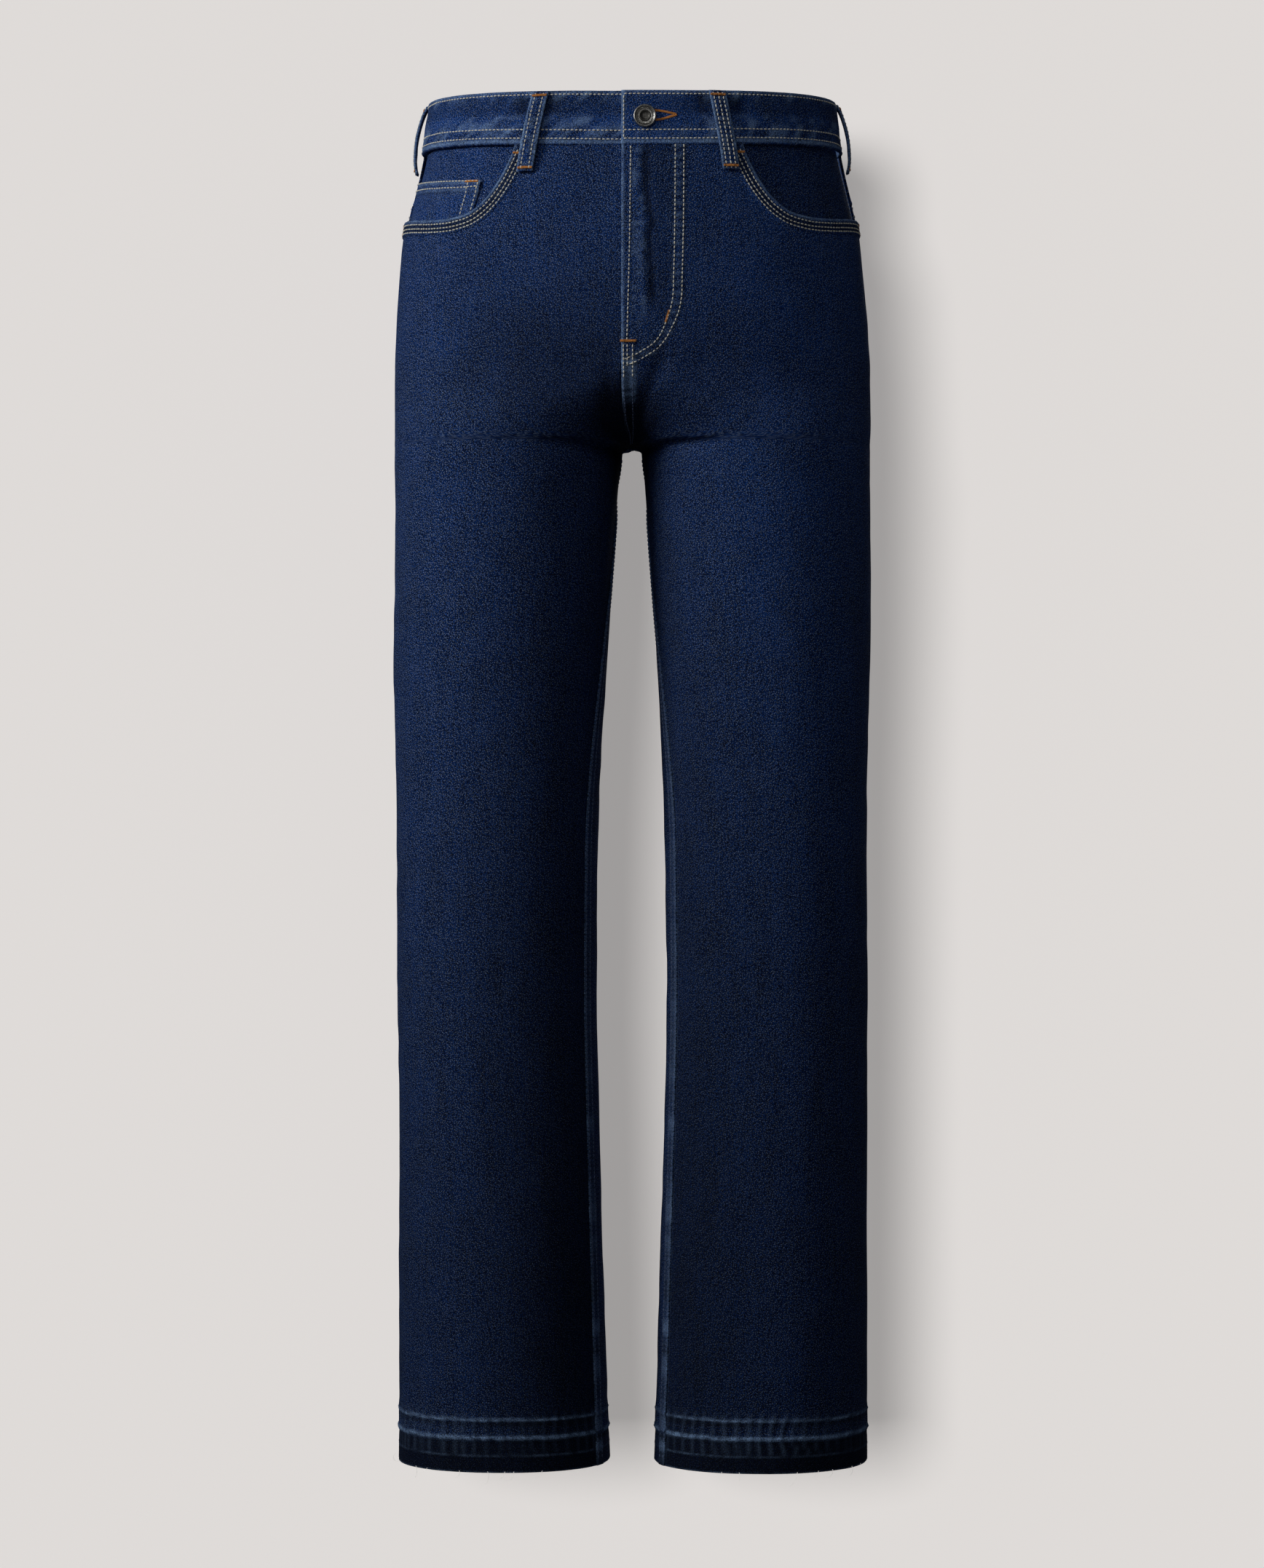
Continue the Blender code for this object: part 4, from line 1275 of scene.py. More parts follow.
def loop_panel(loop):
    """A belt loop stands off between its two sewn ends, with a folded edge along each side."""
    top = loop_top(loop)

    def detail(drop, arc):
        row = np.clip((drop - top) / (loop.end - top), 0.0, 1.0)
        across = arc - loop_middle(loop, row, drop)
        rest_top = BAND_PROUD + 0.0014 * (loop.name == "belt_loop_front_left")  # over the buttoned end
        rest = rest_top + (PATCH_GAP - GAP - rest_top) * smoothstep((row - 0.62) / 0.2)
        stand = np.sin(math.pi * np.clip((row - 0.03) / 0.94, 0.0, 1.0)) ** 0.6
        out = rest + GAP + LOOP_WALL + stand * (loop.standoff - LOOP_WALL - GAP - rest)
        rim = loop.width / 2 - np.abs(across)
        out = out - 0.0005 * hump(rim, 0.0007) + 0.00025 * np.cos(2 * math.pi * across / loop.width)
        for place in loop.rows:
            out = out - 0.0003 * hump(across - place, 0.0008)
        out = out + 0.0002 * lumps(arc, drop, 0.006, 80)
        grain = 0.7 + 0.3 * lumps(arc, drop, 0.004, 81)
        wear = 0.62 * hump(rim - 0.0006, 0.0010) * grain + 0.20 * np.maximum(lumps(arc, drop, 0.003, 82), 0)
        dark = 0.25 * hump(np.abs(across) - 0.0015, 0.0008)
        return Detail(out, wear, 0.10 + 0.12 * lumps(arc, drop, 0.005, 83), dark, 0.3 + 0.0 * out)

    return Panel(loop.side, detail, no_lap)


def loop_place(loop):
    top = loop_top(loop)

    def place(column, row):
        drop = top + row * (loop.end - top)
        return drop, loop_middle(loop, row, drop) + column * loop.width

    return place


def make_belt_loop(loop):
    columns, rows = np.linspace(-0.5, 0.5, 17), np.linspace(0, 1, 44)
    cloth(loop.name, loop_panel(loop), columns, rows, loop_place(loop), LOOP_WALL, DENIM_FACES[:1])


def pocket_spot(column, row):
    pocket = BACK_POCKET
    width = pocket.top_width + row * (pocket.bottom_width - pocket.top_width)
    from_back = pocket.inner + pocket.top_width / 2 + (column - 0.5) * width
    top = pocket.top - pocket.slant * column
    bottom = pocket.top - pocket.slant / 2 + pocket.height + pocket.point * (1 - np.abs(2 * column - 1))
    drop = top + row * (bottom - top)
    return drop, whole_arc(drop) - from_back


def pocket_edge(inset):
    """A closed path round the back pocket, inside its edge by an inset."""
    share_in = inset / BACK_POCKET.top_width
    low = 1.0 - inset / BACK_POCKET.height
    corners = [(share_in, 0.0), (share_in, low), (0.5, low), (1 - share_in, low), (1 - share_in, 0.0)]
    points = []
    for start, end in zip(corners, corners[1:]):
        for t in np.linspace(0, 1, 60)[:-1]:
            points.append((start[0] + t * (end[0] - start[0]), start[1] + t * (end[1] - start[1])))
    spots = np.array(points)
    return path_of(*pocket_spot(spots[:, 0], spots[:, 1]))


def back_pocket_panel(side):
    rim_path = pocket_edge(0.0)[::6]

    def detail(drop, arc):
        rim = distance_from(rim_path, arc, drop)
        pocket = BACK_POCKET
        column = np.clip((whole_arc(drop) - arc - pocket.inner) / pocket.top_width, 0.0, 1.0)
        below = drop - (pocket.top - pocket.slant * column)
        hem = 1.0 - smoothstep((below - 0.013) / 0.0015)
        out = PATCH_GAP + POCKET_WALL + 0.0006 * hem
        out = out + 0.0003 * hump(rim - 0.001, 0.001) - 0.0004 * hump(rim, 0.0006)
        out = out + 0.0005 * lumps(arc, drop, 0.03, 90)
        grain = 0.7 + 0.3 * lumps(arc, drop, 0.005, 91)
        wear = 0.30 * hump(rim - 0.001, 0.0014) * grain + 0.28 * hump(below - 0.001, 0.0015) * grain
        fade = 0.20 + 0.12 * hump(rim - 0.03, 0.03) + 0.05 * lumps(arc, drop, 0.02, 92)
        # Its dark mark is painted shadow under the hem's lower edge
        return Detail(out, wear, fade, 0.25 * hump(below - 0.0145, 0.001), 0.5 * hump(rim, 0.008))

    return Panel(side, detail, no_lap)


def make_back_pocket(side):
    columns, rows = np.linspace(0, 1, 70), np.linspace(0, 1, 66)
    name, panel = sided("back_pocket", side), back_pocket_panel(side)
    cloth(name, panel, columns, rows, pocket_spot, POCKET_WALL, DENIM_FACES[:1])


def zip_place(column, row):
    top = band_bottom(share_of(column)) + 2 * GAP
    return top + row * (ZIP_END - top), column


ZIP_PANEL = Panel(1, plain_detail(-0.0018, dark=0.9), no_lap)
TEETH_PANEL = Panel(1, plain_detail(-0.0034), no_lap)


def make_zip():
    """The closed zip behind the fly: a woven tape, two rows of teeth and the slider at the top."""
    columns, rows = np.linspace(-0.014, 0.020, 18), np.linspace(0, 1, 60)
    tape = cloth("fly_zip", ZIP_PANEL, columns, rows, zip_place, ZIP_WALL, DENIM_FACES[1:])
    teeth = bmesh.new()
    drops = np.arange(0.050, 0.170, TOOTH_PITCH)
    for side, shift in ((1, 0.0), (-1, TOOTH_PITCH / 2)):
        arcs = np.full(len(drops), ZIP_MIDDLE + side * 0.0011)
        for point, out in zip(*surface_points(TEETH_PANEL, drops + shift, arcs)):
            turn = Vector(out).to_track_quat("Z", "Y").to_matrix().to_4x4()
            stand = Matrix.Translation(point) @ turn
            bmesh.ops.create_cube(teeth, size=1.0, matrix=stand @ Matrix.Diagonal(TOOTH_SIZE))
    middle = surface_points(TEETH_PANEL, np.array([0.052]), np.array([ZIP_MIDDLE]))[0][0]
    body = Matrix.Translation(middle) @ Matrix.Diagonal(SLIDER_SIZE)
    slider = bmesh.ops.create_cube(teeth, size=1.0, matrix=body)
    edges = list({edge for vert in slider["verts"] for edge in vert.link_edges})
    bmesh.ops.bevel(
        teeth, geom=edges, offset=0.0008, offset_type="OFFSET", segments=2,
        profile=0.5, affect="EDGES", material=-1,
    )
    mesh = mesh_of("zip_teeth", teeth, "antique plated zinc")
    stand_for(add_object("zip_teeth", mesh), "zip")


def turned(profile, steps=72):
    """A closed shape turned about +Z from (radius, height) points that start and end on the axis."""
    shape = bmesh.new()
    verts = [shape.verts.new((radius, 0.0, height)) for radius, height in profile]
    edges = [shape.edges.new(pair) for pair in zip(verts, verts[1:])]
    bmesh.ops.spin(
        shape, geom=verts + edges, axis=(0, 0, 1), cent=(0, 0, 0), angle=2 * math.pi,
        steps=steps, use_merge=True,
    )
    bmesh.ops.remove_doubles(shape, verts=shape.verts[:], dist=1e-6)
    bmesh.ops.recalc_face_normals(shape, faces=shape.faces[:])
    return shape


BUTTON_RIM = [
    (0.0, 0.0), (0.0070, 0.0), (0.0080, 0.0003), (0.0084, 0.0009), (0.0084, 0.0017), (0.0081, 0.0023),
    (0.0076, 0.0025), (0.0071, 0.0023), (0.0068, 0.0018), (0.0045, 0.0018), (0.0, 0.0018),
]
BUTTON_MIDDLE = [
    (0.0, 0.0012), (0.0043, 0.0012), (0.0045, 0.0019), (0.0042, 0.0026), (0.0036, 0.0027),
    (0.0029, 0.0021), (0.0015, 0.0019), (0.0, 0.0020),
]
PIP_COUNT = 30
PIP_RADIUS = 0.0057  # of the ring that the pips stand on
PIP_LEVEL = 0.0019
PIP_SIZE = (0.0008, 0.0003, 0.0004, 1)


def make_button():
    """The domed shank button: a bright rolled rim, a ring of small plain pips and a dark raised middle."""
    facing = Vector(outwards(np.array(BUTTON_DROP), np.array(BUTTON_ARC)))
    seat = Vector(places(BUTTON_DROP, BUTTON_ARC)) + facing * (BAND_PROUD + (BAND_WALL + GAP) / 2 + GAP)
    stand = Matrix.Translation(seat) @ facing.to_track_quat("Z", "Y").to_matrix().to_4x4()
    pips = bmesh.new()
    for i in range(PIP_COUNT):
        angle = 2 * math.pi * i / PIP_COUNT
        spot = Vector((PIP_RADIUS * math.cos(angle), PIP_RADIUS * math.sin(angle), PIP_LEVEL))
        shape = Matrix.Translation(spot) @ Matrix.Rotation(angle, 4, "Z") @ Matrix.Diagonal(PIP_SIZE)
        bmesh.ops.create_uvsphere(pips, u_segments=6, v_segments=4, radius=1.0, matrix=shape)
    for name, shape, finish in (
        ("button_rim", turned(BUTTON_RIM), "antique plated zinc"),
        ("button_middle", turned(BUTTON_MIDDLE), "dark plated zinc"),
        ("button_pips", pips, "antique plated zinc"),
    ):
        bmesh.ops.transform(shape, matrix=stand, verts=shape.verts[:])
        mesh = mesh_of(name, shape, finish)
        mesh.shade_smooth()
        made = stand_for(add_object(name, mesh), "button")
        if name == "button_rim":
            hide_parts("button")


# ---------------------------------------------------------------- stitching


def straight(start, end, step=0.0012):
    start, end = np.array(start), np.array(end)
    count = max(2, int(np.linalg.norm(end - start) / step))
    return start + (end - start) * np.linspace(0, 1, count)[:, None]


def row_at(edge, offset, low, high, step=0.003):
    """A path down a panel, at an offset from an edge whose arc is a function of the drop."""
    drops = np.arange(low, high, step)
    return path_of(drops, edge(drops) + offset)


def band_row(row_of, count=900):
    """A path round the waistband. row_of gives the distance below the top from the band's height."""
    stations = np.linspace(-FLY_LAP + 0.0016, 2 * HALF_WAIST - 0.002, count)
    share = share_of(folded_back(stations))
    drop = row_of(band_top(share), band_bottom(share))
    return path_of(drop, band_station(stations, drop))


def topstitch_rows():
    """(path, panel) of every row of topstitching."""
    left, right = front_panel(1), front_panel(-1)
    rows = [
        (band_row(lambda top, bottom: top + 0.0027), BAND),
        (band_row(lambda top, bottom: bottom - 0.0028), BAND),
        (band_row(lambda top, bottom: bottom - 0.0092), BAND),
        (straight((-0.0033, 0.0075), (-0.0033, 0.0400)), BAND),
        (FLY_PATH, left),
        (FLY_OUTER_PATH, left),
        (path_through([(0.0018, 0.0445), (0.0010, 0.12), (-0.0008, 0.187)]), left),
        (straight((-0.0034, 0.190), (-0.0034, 0.2150)), left),
        (straight((0.0033, 0.190), (0.0033, 0.2150)), left),
        (straight((-0.0006, 0.190), (-0.0006, 0.2055)), left),
    ]
    for side, panel in ((1, left), (-1, right)):
        for gap in SCOOP_ROWS:
            path = beside(SCOOP_PATHS[side], -gap)
            rows.append((path[path[:, 0] < SIDE_ARC - 0.002], panel))
        facing = facing_panel(side)
        rows.append((row_at(lambda d: arc_of(d, OUTSEAM), -0.0055, 0.041, 0.086), facing))
        back = back_panel(side)
        for gap in (0.0018, 0.0085):
            rows.append((row_at(lambda d: whole_arc(d), -gap, 0.104, CROTCH - 0.012), back))
            yoke = yoke_panel(side)
            rows.append((row_at(lambda d: whole_arc(d), -gap, 0.028, 0.094), yoke))
        across = np.linspace(0.004, 0.998, 260)
        for gap in (0.0020, 0.0084):
            drops = yoke_seam(across) + gap
            outer = back_edges(drops)[1]
            start = whole_arc(drops)
            rows.append((path_of(drops, start + across * (outer - start)), back))
        pocket = back_pocket_panel(side)
        rows.append((pocket_edge(0.0020), pocket))
        rows.append((pocket_edge(0.0082), pocket))
        for row in (0.088, 0.114):
            rows.append((path_of(*pocket_spot(np.linspace(0.02, 0.98, 160), np.full(160, row))), pocket))
    coin = coin_panel()
    for inset in (0.02, 0.16):
        rows.append((path_of(*coin_spot(np.linspace(0.02, 0.98, 90), np.full(90, inset))), coin))
    for inset in (0.02, 0.10):
        rows.append((path_of(*coin_spot(np.full(60, inset), np.linspace(0.04, 0.98, 60))), coin))
    for loop in LOOPS:
        panel = loop_panel(loop)
        drops = np.linspace(loop_top(loop) + 0.001, loop.end - 0.001, 60)
        share = (drops - loop_top(loop)) / (loop.end - loop_top(loop))
        for place in loop.rows:
            rows.append((path_of(drops, loop_middle(loop, share, drops) + place), panel))
    return rows


def inseam_rows():
    """The rows of the crotch seam and the felled inseams, sewn with a thread that was dyed with the denim."""
    left = front_panel(1)
    rows = [
        (path_through([(-0.0034, 0.218), (-0.0034, 0.232), (-0.0034, 0.244), (0.0012, 0.2565)]), left),
        (path_through([(0.0033, 0.218), (0.0033, 0.226), (0.0034, 0.236), (0.0050, 0.2565)]), left),
    ]
    for side in (1, -1):
        back = back_panel(side)
        for gap in (0.0018, 0.0085):
            rows.append((row_at(lambda d: back_edges(d)[0], -gap, CROTCH + 0.008, LENGTH - 0.004), back))
    return rows


def make_topstitching():
    sizes = bpy.context.scene.jeans_sizes
    jitter = np.random.default_rng(5)
    for name, sewn, thickness, finish in (
        ("topstitching", topstitch_rows(), sizes.thread, "topstitching thread"),
        ("inseam_stitching", inseam_rows(), sizes.thread * 0.7, "seam thread dyed with the denim"),
    ):
        rows = []
        for path, panel in sewn:
            spots = spaced(path, panel, 0.00012, sizes.stitch_pitch)
            rows.append(beads(spots, sizes.stitch_length, thickness, 0.0, jitter))
        thread_object(name, rows, finish)


def bartack_spots():
    """(path, panel, width) of every bartack: a short path, covered with close stitches across it."""
    left, right = front_panel(1), front_panel(-1)
    tacks = [
        (straight((-0.0058, 0.1878), (0.0058, 0.1878), TACK_STEP), left, 0.0022),
        (straight((0.0300, 0.1655), (0.0272, 0.1745), TACK_STEP), left, 0.0020),
    ]
    for side, panel in ((1, left), (-1, right)):
        path = SCOOP_PATHS[side]
        low = path[-14]
        top = SCOOP[0].drop + 0.0055
        reach = float(np.interp(top, path[:, 1], path[:, 0]))
        tacks.append((straight((reach - 0.0095, top), (reach - 0.0012, top), TACK_STEP), panel, 0.0020))
        down = straight((low[0], low[1] + 0.0008), (low[0], low[1] + 0.0098), TACK_STEP)
        tacks.append((down, panel, 0.0020))
        pocket = back_pocket_panel(side)
        for column in (0.012, 0.988):
            corner = path_of(*pocket_spot(np.full(14, column), np.linspace(0.004, 0.075, 14)))
            tacks.append((corner, pocket, 0.0022))
    corner = path_of(*coin_spot(np.linspace(0.02, 0.13, 12), np.full(12, 0.03)))
    tacks.append((corner, coin_panel(), 0.0020))
    for loop in LOOPS:
        panel = loop_panel(loop)
        for drop in (loop_top(loop) + 0.0030, loop.end - 0.0026):
            share = (drop - loop_top(loop)) / (loop.end - loop_top(loop))
            middle = float(loop_middle(loop, share, np.array(drop)))
            reach = loop.width / 2 - 0.0008
            across = straight((middle - reach, drop), (middle + reach, drop), TACK_STEP)
            tacks.append((across, panel, 0.0022))
    return tacks


def make_bartacks():
    """Dense stitches of heavy thread that hold the loops, the fly and the corners of the pockets."""
    jitter = np.random.default_rng(9)
    rows = []
    for path, panel, width in bartack_spots():
        spots = spaced(path, panel, 0.00025, BARTACK_PITCH)
        rows.append(beads(spots, width, HEAVY_THREAD, math.radians(82), jitter))
    thread_object("bartacks", rows, "bartack thread")


def make_buttonhole():
    """The keyhole buttonhole beside the button, whipped all round with the bartack thread."""
    jitter = np.random.default_rng(13)
    rows = []
    upper = path_through([(0.0190, 0.0190), (0.0250, 0.0196), (0.0300, 0.0206), (0.0335, 0.0213)], 0.0004)
    lower = path_through([(0.0190, 0.0262), (0.0250, 0.0252), (0.0300, 0.0236), (0.0335, 0.0226)], 0.0004)
    tip = path_through([(0.0333, 0.0212), (0.0348, 0.0216), (0.0350, 0.0221), (0.0333, 0.0228)], 0.0003)
    for path, width in ((upper, 0.0021), (lower, 0.0021), (tip, 0.0016)):
        spots = spaced(path, BAND, 0.0002, BUTTONHOLE_PITCH)
        rows.append(beads(spots, width, HEAVY_THREAD, math.radians(80), jitter))
    thread_object("buttonhole_thread", rows, "bartack thread")


THREAD_STEPS = 12
LooseThread = namedtuple("LooseThread", "side share length lean curl")
LOOSE_THREADS = [
    LooseThread(-1, 0.24, 0.008, -0.5, 0.2),
    LooseThread(-1, 0.34, 0.011, 0.4, 0.9),
    LooseThread(-1, 0.37, 0.007, -0.2, 0.3),
    LooseThread(-1, 0.43, 0.010, 0.7, 0.6),
    LooseThread(-1, 0.53, 0.008, 0.5, 0.9),
    LooseThread(-1, 0.66, 0.007, -0.4, 0.5),
    LooseThread(-1, 0.72, 0.009, 0.5, 0.4),
    LooseThread(-1, 0.86, 0.012, -0.8, 1.6),
    LooseThread(1, 0.26, 0.008, -0.3, 0.6),
    LooseThread(1, 0.32, 0.006, 0.3, 0.2),
    LooseThread(1, 0.52, 0.013, 0.1, 0.5),
    LooseThread(1, 0.60, 0.007, -0.3, 0.4),
    LooseThread(1, 0.66, 0.009, 0.4, 0.8),
    LooseThread(1, 0.76, 0.008, 0.6, 0.6),
    LooseThread(1, 0.83, 0.010, -0.5, 1.0),
]


def make_loose_threads():
    """Threads of undyed weft that hang and curl from the raw hems."""
    radius = bpy.context.scene.jeans_sizes.hem_thread / 2
    builder = bmesh.new()
    for thread in LOOSE_THREADS:
        start, end = front_edges(thread.side, np.array(LENGTH))
        arc = start + thread.share * (end - start)
        point, out = surface_points(front_panel(thread.side), np.array(LENGTH - 0.001), arc)
        position = Vector(point) + Vector(out) * 0.0002
        heading = Vector((thread.lean, -0.12, -1.0)).normalized()
        stand = Matrix.Translation(position)
        ring = bmesh.ops.create_circle(builder, segments=5, radius=radius, matrix=stand)
        edges = list({edge for vert in ring["verts"] for edge in vert.link_edges})
        for i in range(THREAD_STEPS):
            bend = Matrix.Rotation(thread.curl * 2.4 / THREAD_STEPS, 3, "Y")
            heading = bend @ heading
            grown = bmesh.ops.extrude_edge_only(builder, edges=edges)["geom"]
            moved = [item for item in grown if isinstance(item, bmesh.types.BMVert)]
            edges = [item for item in grown if isinstance(item, bmesh.types.BMEdge)]
            edges = [edge for edge in edges if all(vert in moved for vert in edge.verts)]
            bmesh.ops.translate(builder, verts=moved, vec=heading * thread.length / THREAD_STEPS)
    bmesh.ops.recalc_face_normals(builder, faces=builder.faces[:])
    mesh = mesh_of("loose_hem_threads", builder, "loose cotton weft")
    mesh.shade_smooth()
    stand_for(add_object("loose_hem_threads", mesh), "denim")


# ---------------------------------------------------------------- the studio

CAMERA_DISTANCE = 3.3
CAMERA_SIDE = 0.086  # the camera stands a little to the wearer's left
CAMERA_DROP = 0.5107
WALL_BEHIND = 0.165
FLOOR_BELOW = 0.16
LENS = 100.6
WALL_HALF = 3.0
FLOOR_HALF = 6.0


def painted_material(name, colour, grain_scale, shade, glow, roughness):
    """A matt painted face in slightly uneven colour, whose own faint glow evens it out."""
    made, tree, shader = new_material(name)
    grain = add_node(tree, "ShaderNodeTexNoise", {}, {"Scale": grain_scale, "Detail": 2.0}).outputs["Fac"]
    darker = tuple(part * shade for part in colour)
    tint = laid_over(tree, opaque(darker), opaque(colour), grain, 0.3, 0.7)
    tree.links.new(tint, shader.inputs["Base Color"])
    tree.links.new(tint, shader.inputs["Emission Color"])
    set_inputs(shader, {"Emission Strength": glow, "Roughness": roughness})
    return made, tree, shader


def wall_material(colour):
    """Matt painted board, clear from behind: what falls on it gives the soft shadow."""
    made, tree, shader = painted_material("matt painted board", colour, 3.0, 0.985, 0.452, 1.0)
    set_inputs(shader, {"Specular IOR Level": 0.0})
    behind = add_node(tree, "ShaderNodeNewGeometry").outputs["Backfacing"]
    clear = add_node(tree, "ShaderNodeBsdfTransparent").outputs["BSDF"]
    shown = add_node(tree, "ShaderNodeMixShader", {}, {0: behind, 1: shader.outputs["BSDF"], 2: clear})
    tree.links.new(shown.outputs["Shader"], tree.nodes["Material Output"].inputs["Surface"])
    return made


def add_light(name, kind, energy, place, aim, size, only=None, but_not=None):
    data = bpy.data.lights.new(name, kind)
    data.energy = energy
    if kind == "SUN":
        data.angle = size
    else:
        data.shape = "DISK"
        data.size = size
    lamp = add_object(name, data)
    lamp.location = place
    lamp.rotation_euler = (Vector(aim) - Vector(place)).to_track_quat("-Z", "Y").to_euler()
    linked = only or but_not
    if linked:
        group = bpy.data.collections.new(name + " reach")
        group.objects.link(linked)
        if but_not:
            group.collection_objects[0].light_linking.link_state = "EXCLUDE"
        lamp.light_linking.receiver_collection = group
    return lamp


def make_stage():
    """Pale wall close behind the garment, floor, lights and camera."""
    scene = bpy.context.scene
    colour = tuple(scene.jeans_colours.backdrop)
    middle_z = WAIST_TOP - CAMERA_DROP
    floor_finish = painted_material("matt vinyl floor", colour, 2.0, 0.97, 0.55, 0.9)[0]
    boards = {}
    for name, half, turn, place, finish in (
        ("studio_wall", WALL_HALF, 90, (0.0, WALL_BEHIND, middle_z), wall_material(colour)),
        ("studio_floor", FLOOR_HALF, 0, (0.0, 0.0, CAD_LOW.z - FLOOR_BELOW), floor_finish),
    ):
        board = bmesh.new()
        bmesh.ops.create_grid(board, x_segments=1, y_segments=1, size=half)
        stand = Matrix.Translation(place) @ Matrix.Rotation(math.radians(turn), 4, "X")
        bmesh.ops.transform(board, matrix=stand, verts=board.verts[:])
        boards[name] = add_object(name, mesh_of(name, board))
        boards[name].data.materials.append(finish)
        for flag in ("visible_diffuse", "visible_glossy", "visible_transmission", "visible_shadow"):
            setattr(boards[name], flag, False)
    wall = boards["studio_wall"]

    aim = (0.0, 0.0, WAIST_TOP - 0.35)
    add_light("wall light", "SUN", 1.66, (-0.6, -2.4, 0.25), (0.0, 0.0, 0.0), math.radians(19), only=wall)
    add_light("key light", "AREA", 18.0, (-1.75, -1.00, 0.60), aim, 0.9, but_not=wall)
    add_light("front light", "AREA", 4.2, (-0.35, -1.9, 0.80), aim, 1.2, but_not=wall)
    add_light("back light", "AREA", 14.0, (0.3, 2.9, 1.0), aim, 1.8, but_not=wall)

    world = bpy.data.worlds.new("studio air")
    world.use_nodes = True
    tree = world.node_tree
    back = tree.nodes["Background"]
    set_inputs(back, {"Color": opaque(linear("E6EAF2")), "Strength": 0.050})
    seen = add_node(tree, "ShaderNodeBackground", {}, {"Color": opaque(colour), "Strength": 1.0})
    ray = add_node(tree, "ShaderNodeLightPath").outputs["Is Camera Ray"]
    both = {0: ray, 1: back.outputs["Background"], 2: seen.outputs["Background"]}
    mixed = add_node(tree, "ShaderNodeMixShader", {}, both)
    tree.links.new(mixed.outputs["Shader"], tree.nodes["World Output"].inputs["Surface"])
    scene.world = world
    scene.view_settings.view_transform = "Standard"

    camera_data = bpy.data.cameras.new("studio camera")
    camera_data.sensor_fit = "AUTO"
    camera_data.sensor_width = 36.0
    camera_data.lens = LENS
    camera = add_object("studio camera", camera_data)
    camera.location = (CAMERA_SIDE, -CAMERA_DISTANCE, middle_z)
    facing = Vector((0.0, 0.0, middle_z)) - camera.location
    camera.rotation_euler = facing.to_track_quat("-Z", "Y").to_euler()
    scene.camera = camera


# ---------------------------------------------------------------- operators


class JEANS_OT_fronts(bpy.types.Operator):
    """Adds the two leg fronts with their scooped pocket openings"""

    bl_idname = "jeans.fronts"
    bl_label = "Leg Fronts"

    def execute(self, context):
        for side in (1, -1):
            make_front(side)
        return {"FINISHED"}


class JEANS_OT_backs(bpy.types.Operator):
    """Adds the two leg backs and the yokes above them"""

    bl_idname = "jeans.backs"
    bl_label = "Leg Backs and Yokes"

    def execute(self, context):
        for side in (1, -1):
            make_back(side)
            make_yoke(side)
        return {"FINISHED"}


class JEANS_OT_pockets(bpy.types.Operator):
    """Adds the pocket facings, the coin pocket and the back pockets"""

    bl_idname = "jeans.pockets"
    bl_label = "Pockets"

    def execute(self, context):
        for side in (1, -1):
            make_facing(side)
            make_back_pocket(side)
        make_coin_pocket()
        return {"FINISHED"}


class JEANS_OT_waistband(bpy.types.Operator):
    """Adds the waistband"""

    bl_idname = "jeans.waistband"
    bl_label = "Waistband"

    def execute(self, context):
        make_waistband()
        return {"FINISHED"}


class JEANS_OT_belt_loops(bpy.types.Operator):
    """Adds the five belt loops"""

    bl_idname = "jeans.belt_loops"
    bl_label = "Belt Loops"

    def execute(self, context):
        for loop in LOOPS:
            make_belt_loop(loop)
        return {"FINISHED"}


class JEANS_OT_closures(bpy.types.Operator):
    """Adds the button and the zip"""

    bl_idname = "jeans.closures"
    bl_label = "Button and Zip"

    def execute(self, context):
        make_button()
        make_zip()
        return {"FINISHED"}


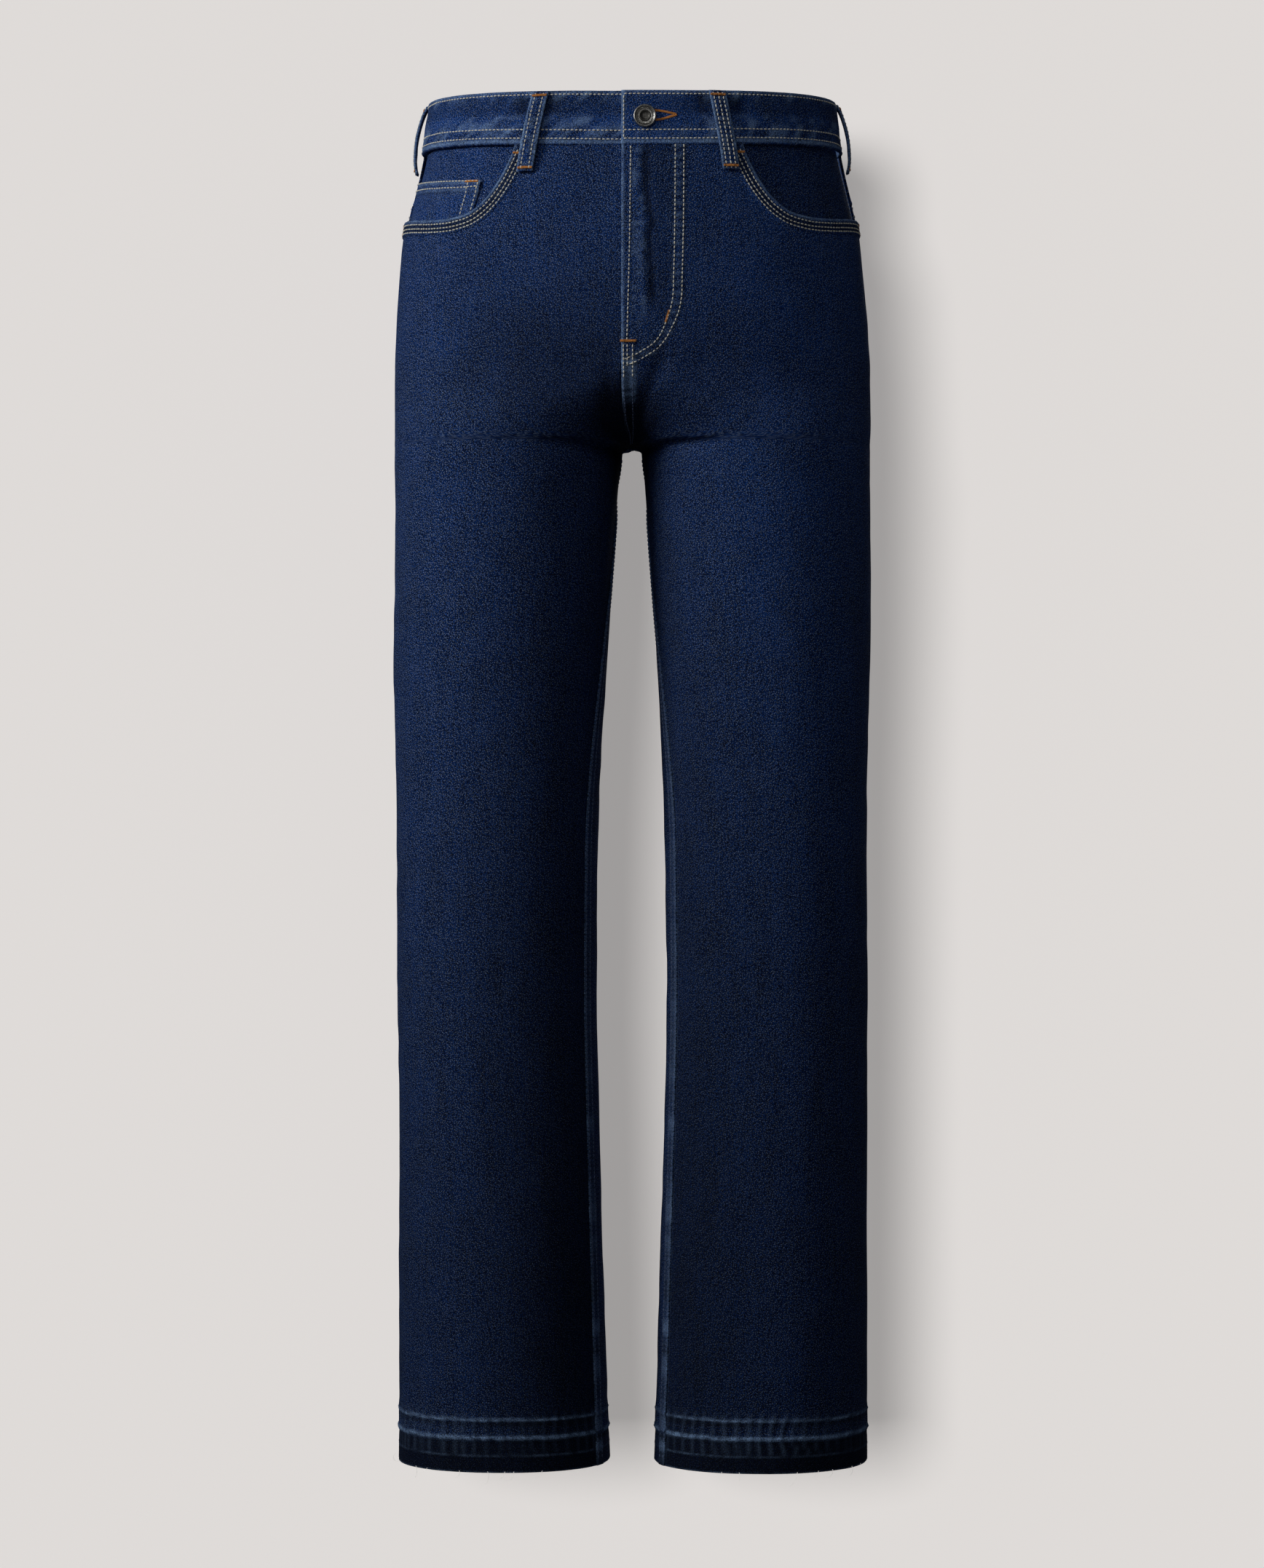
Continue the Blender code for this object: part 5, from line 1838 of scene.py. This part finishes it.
class JEANS_OT_stitching(bpy.types.Operator):
    """Adds the topstitching, the bartacks, the buttonhole and the loose threads of the hem"""

    bl_idname = "jeans.stitching"
    bl_label = "Stitching"

    def execute(self, context):
        make_topstitching()
        make_bartacks()
        make_buttonhole()
        make_loose_threads()
        return {"FINISHED"}


class JEANS_OT_stage(bpy.types.Operator):
    """Adds the studio wall, floor, lights and camera"""

    bl_idname = "jeans.stage"
    bl_label = "Studio"

    def execute(self, context):
        make_stage()
        return {"FINISHED"}


OPERATORS = (
    JEANS_OT_fronts,
    JEANS_OT_backs,
    JEANS_OT_pockets,
    JEANS_OT_waistband,
    JEANS_OT_belt_loops,
    JEANS_OT_closures,
    JEANS_OT_stitching,
    JEANS_OT_stage,
)


class JEANS_PT_panel(bpy.types.Panel):
    """Lists the sizes, the colours and the operators that build the jeans"""

    bl_idname = "JEANS_PT_panel"
    bl_label = "Straight Leg Jeans"
    bl_space_type = "VIEW_3D"
    bl_region_type = "UI"
    bl_category = "Jeans"

    def draw(self, context):
        for group in (context.scene.jeans_sizes, context.scene.jeans_colours):
            box = self.layout.box()
            for name in group.bl_rna.properties.keys():
                if name not in ("rna_type", "name"):
                    box.prop(group, name)
        for operator in OPERATORS:
            self.layout.operator(operator.bl_idname)


CLASSES = (JeansSizes, JeansColours) + OPERATORS + (JEANS_PT_panel,)


def register():
    for made in CLASSES:
        bpy.utils.register_class(made)
    bpy.types.Scene.jeans_sizes = PointerProperty(type=JeansSizes)
    bpy.types.Scene.jeans_colours = PointerProperty(type=JeansColours)


def unregister():
    del bpy.types.Scene.jeans_colours
    del bpy.types.Scene.jeans_sizes
    for made in reversed(CLASSES):
        bpy.utils.unregister_class(made)


def main():
    register()
    bpy.ops.jeans.fronts()
    bpy.ops.jeans.backs()
    bpy.ops.jeans.pockets()
    bpy.ops.jeans.waistband()
    bpy.ops.jeans.belt_loops()
    bpy.ops.jeans.closures()
    bpy.ops.jeans.stitching()
    bpy.ops.jeans.stage()


if __name__ == "__main__":
    main()
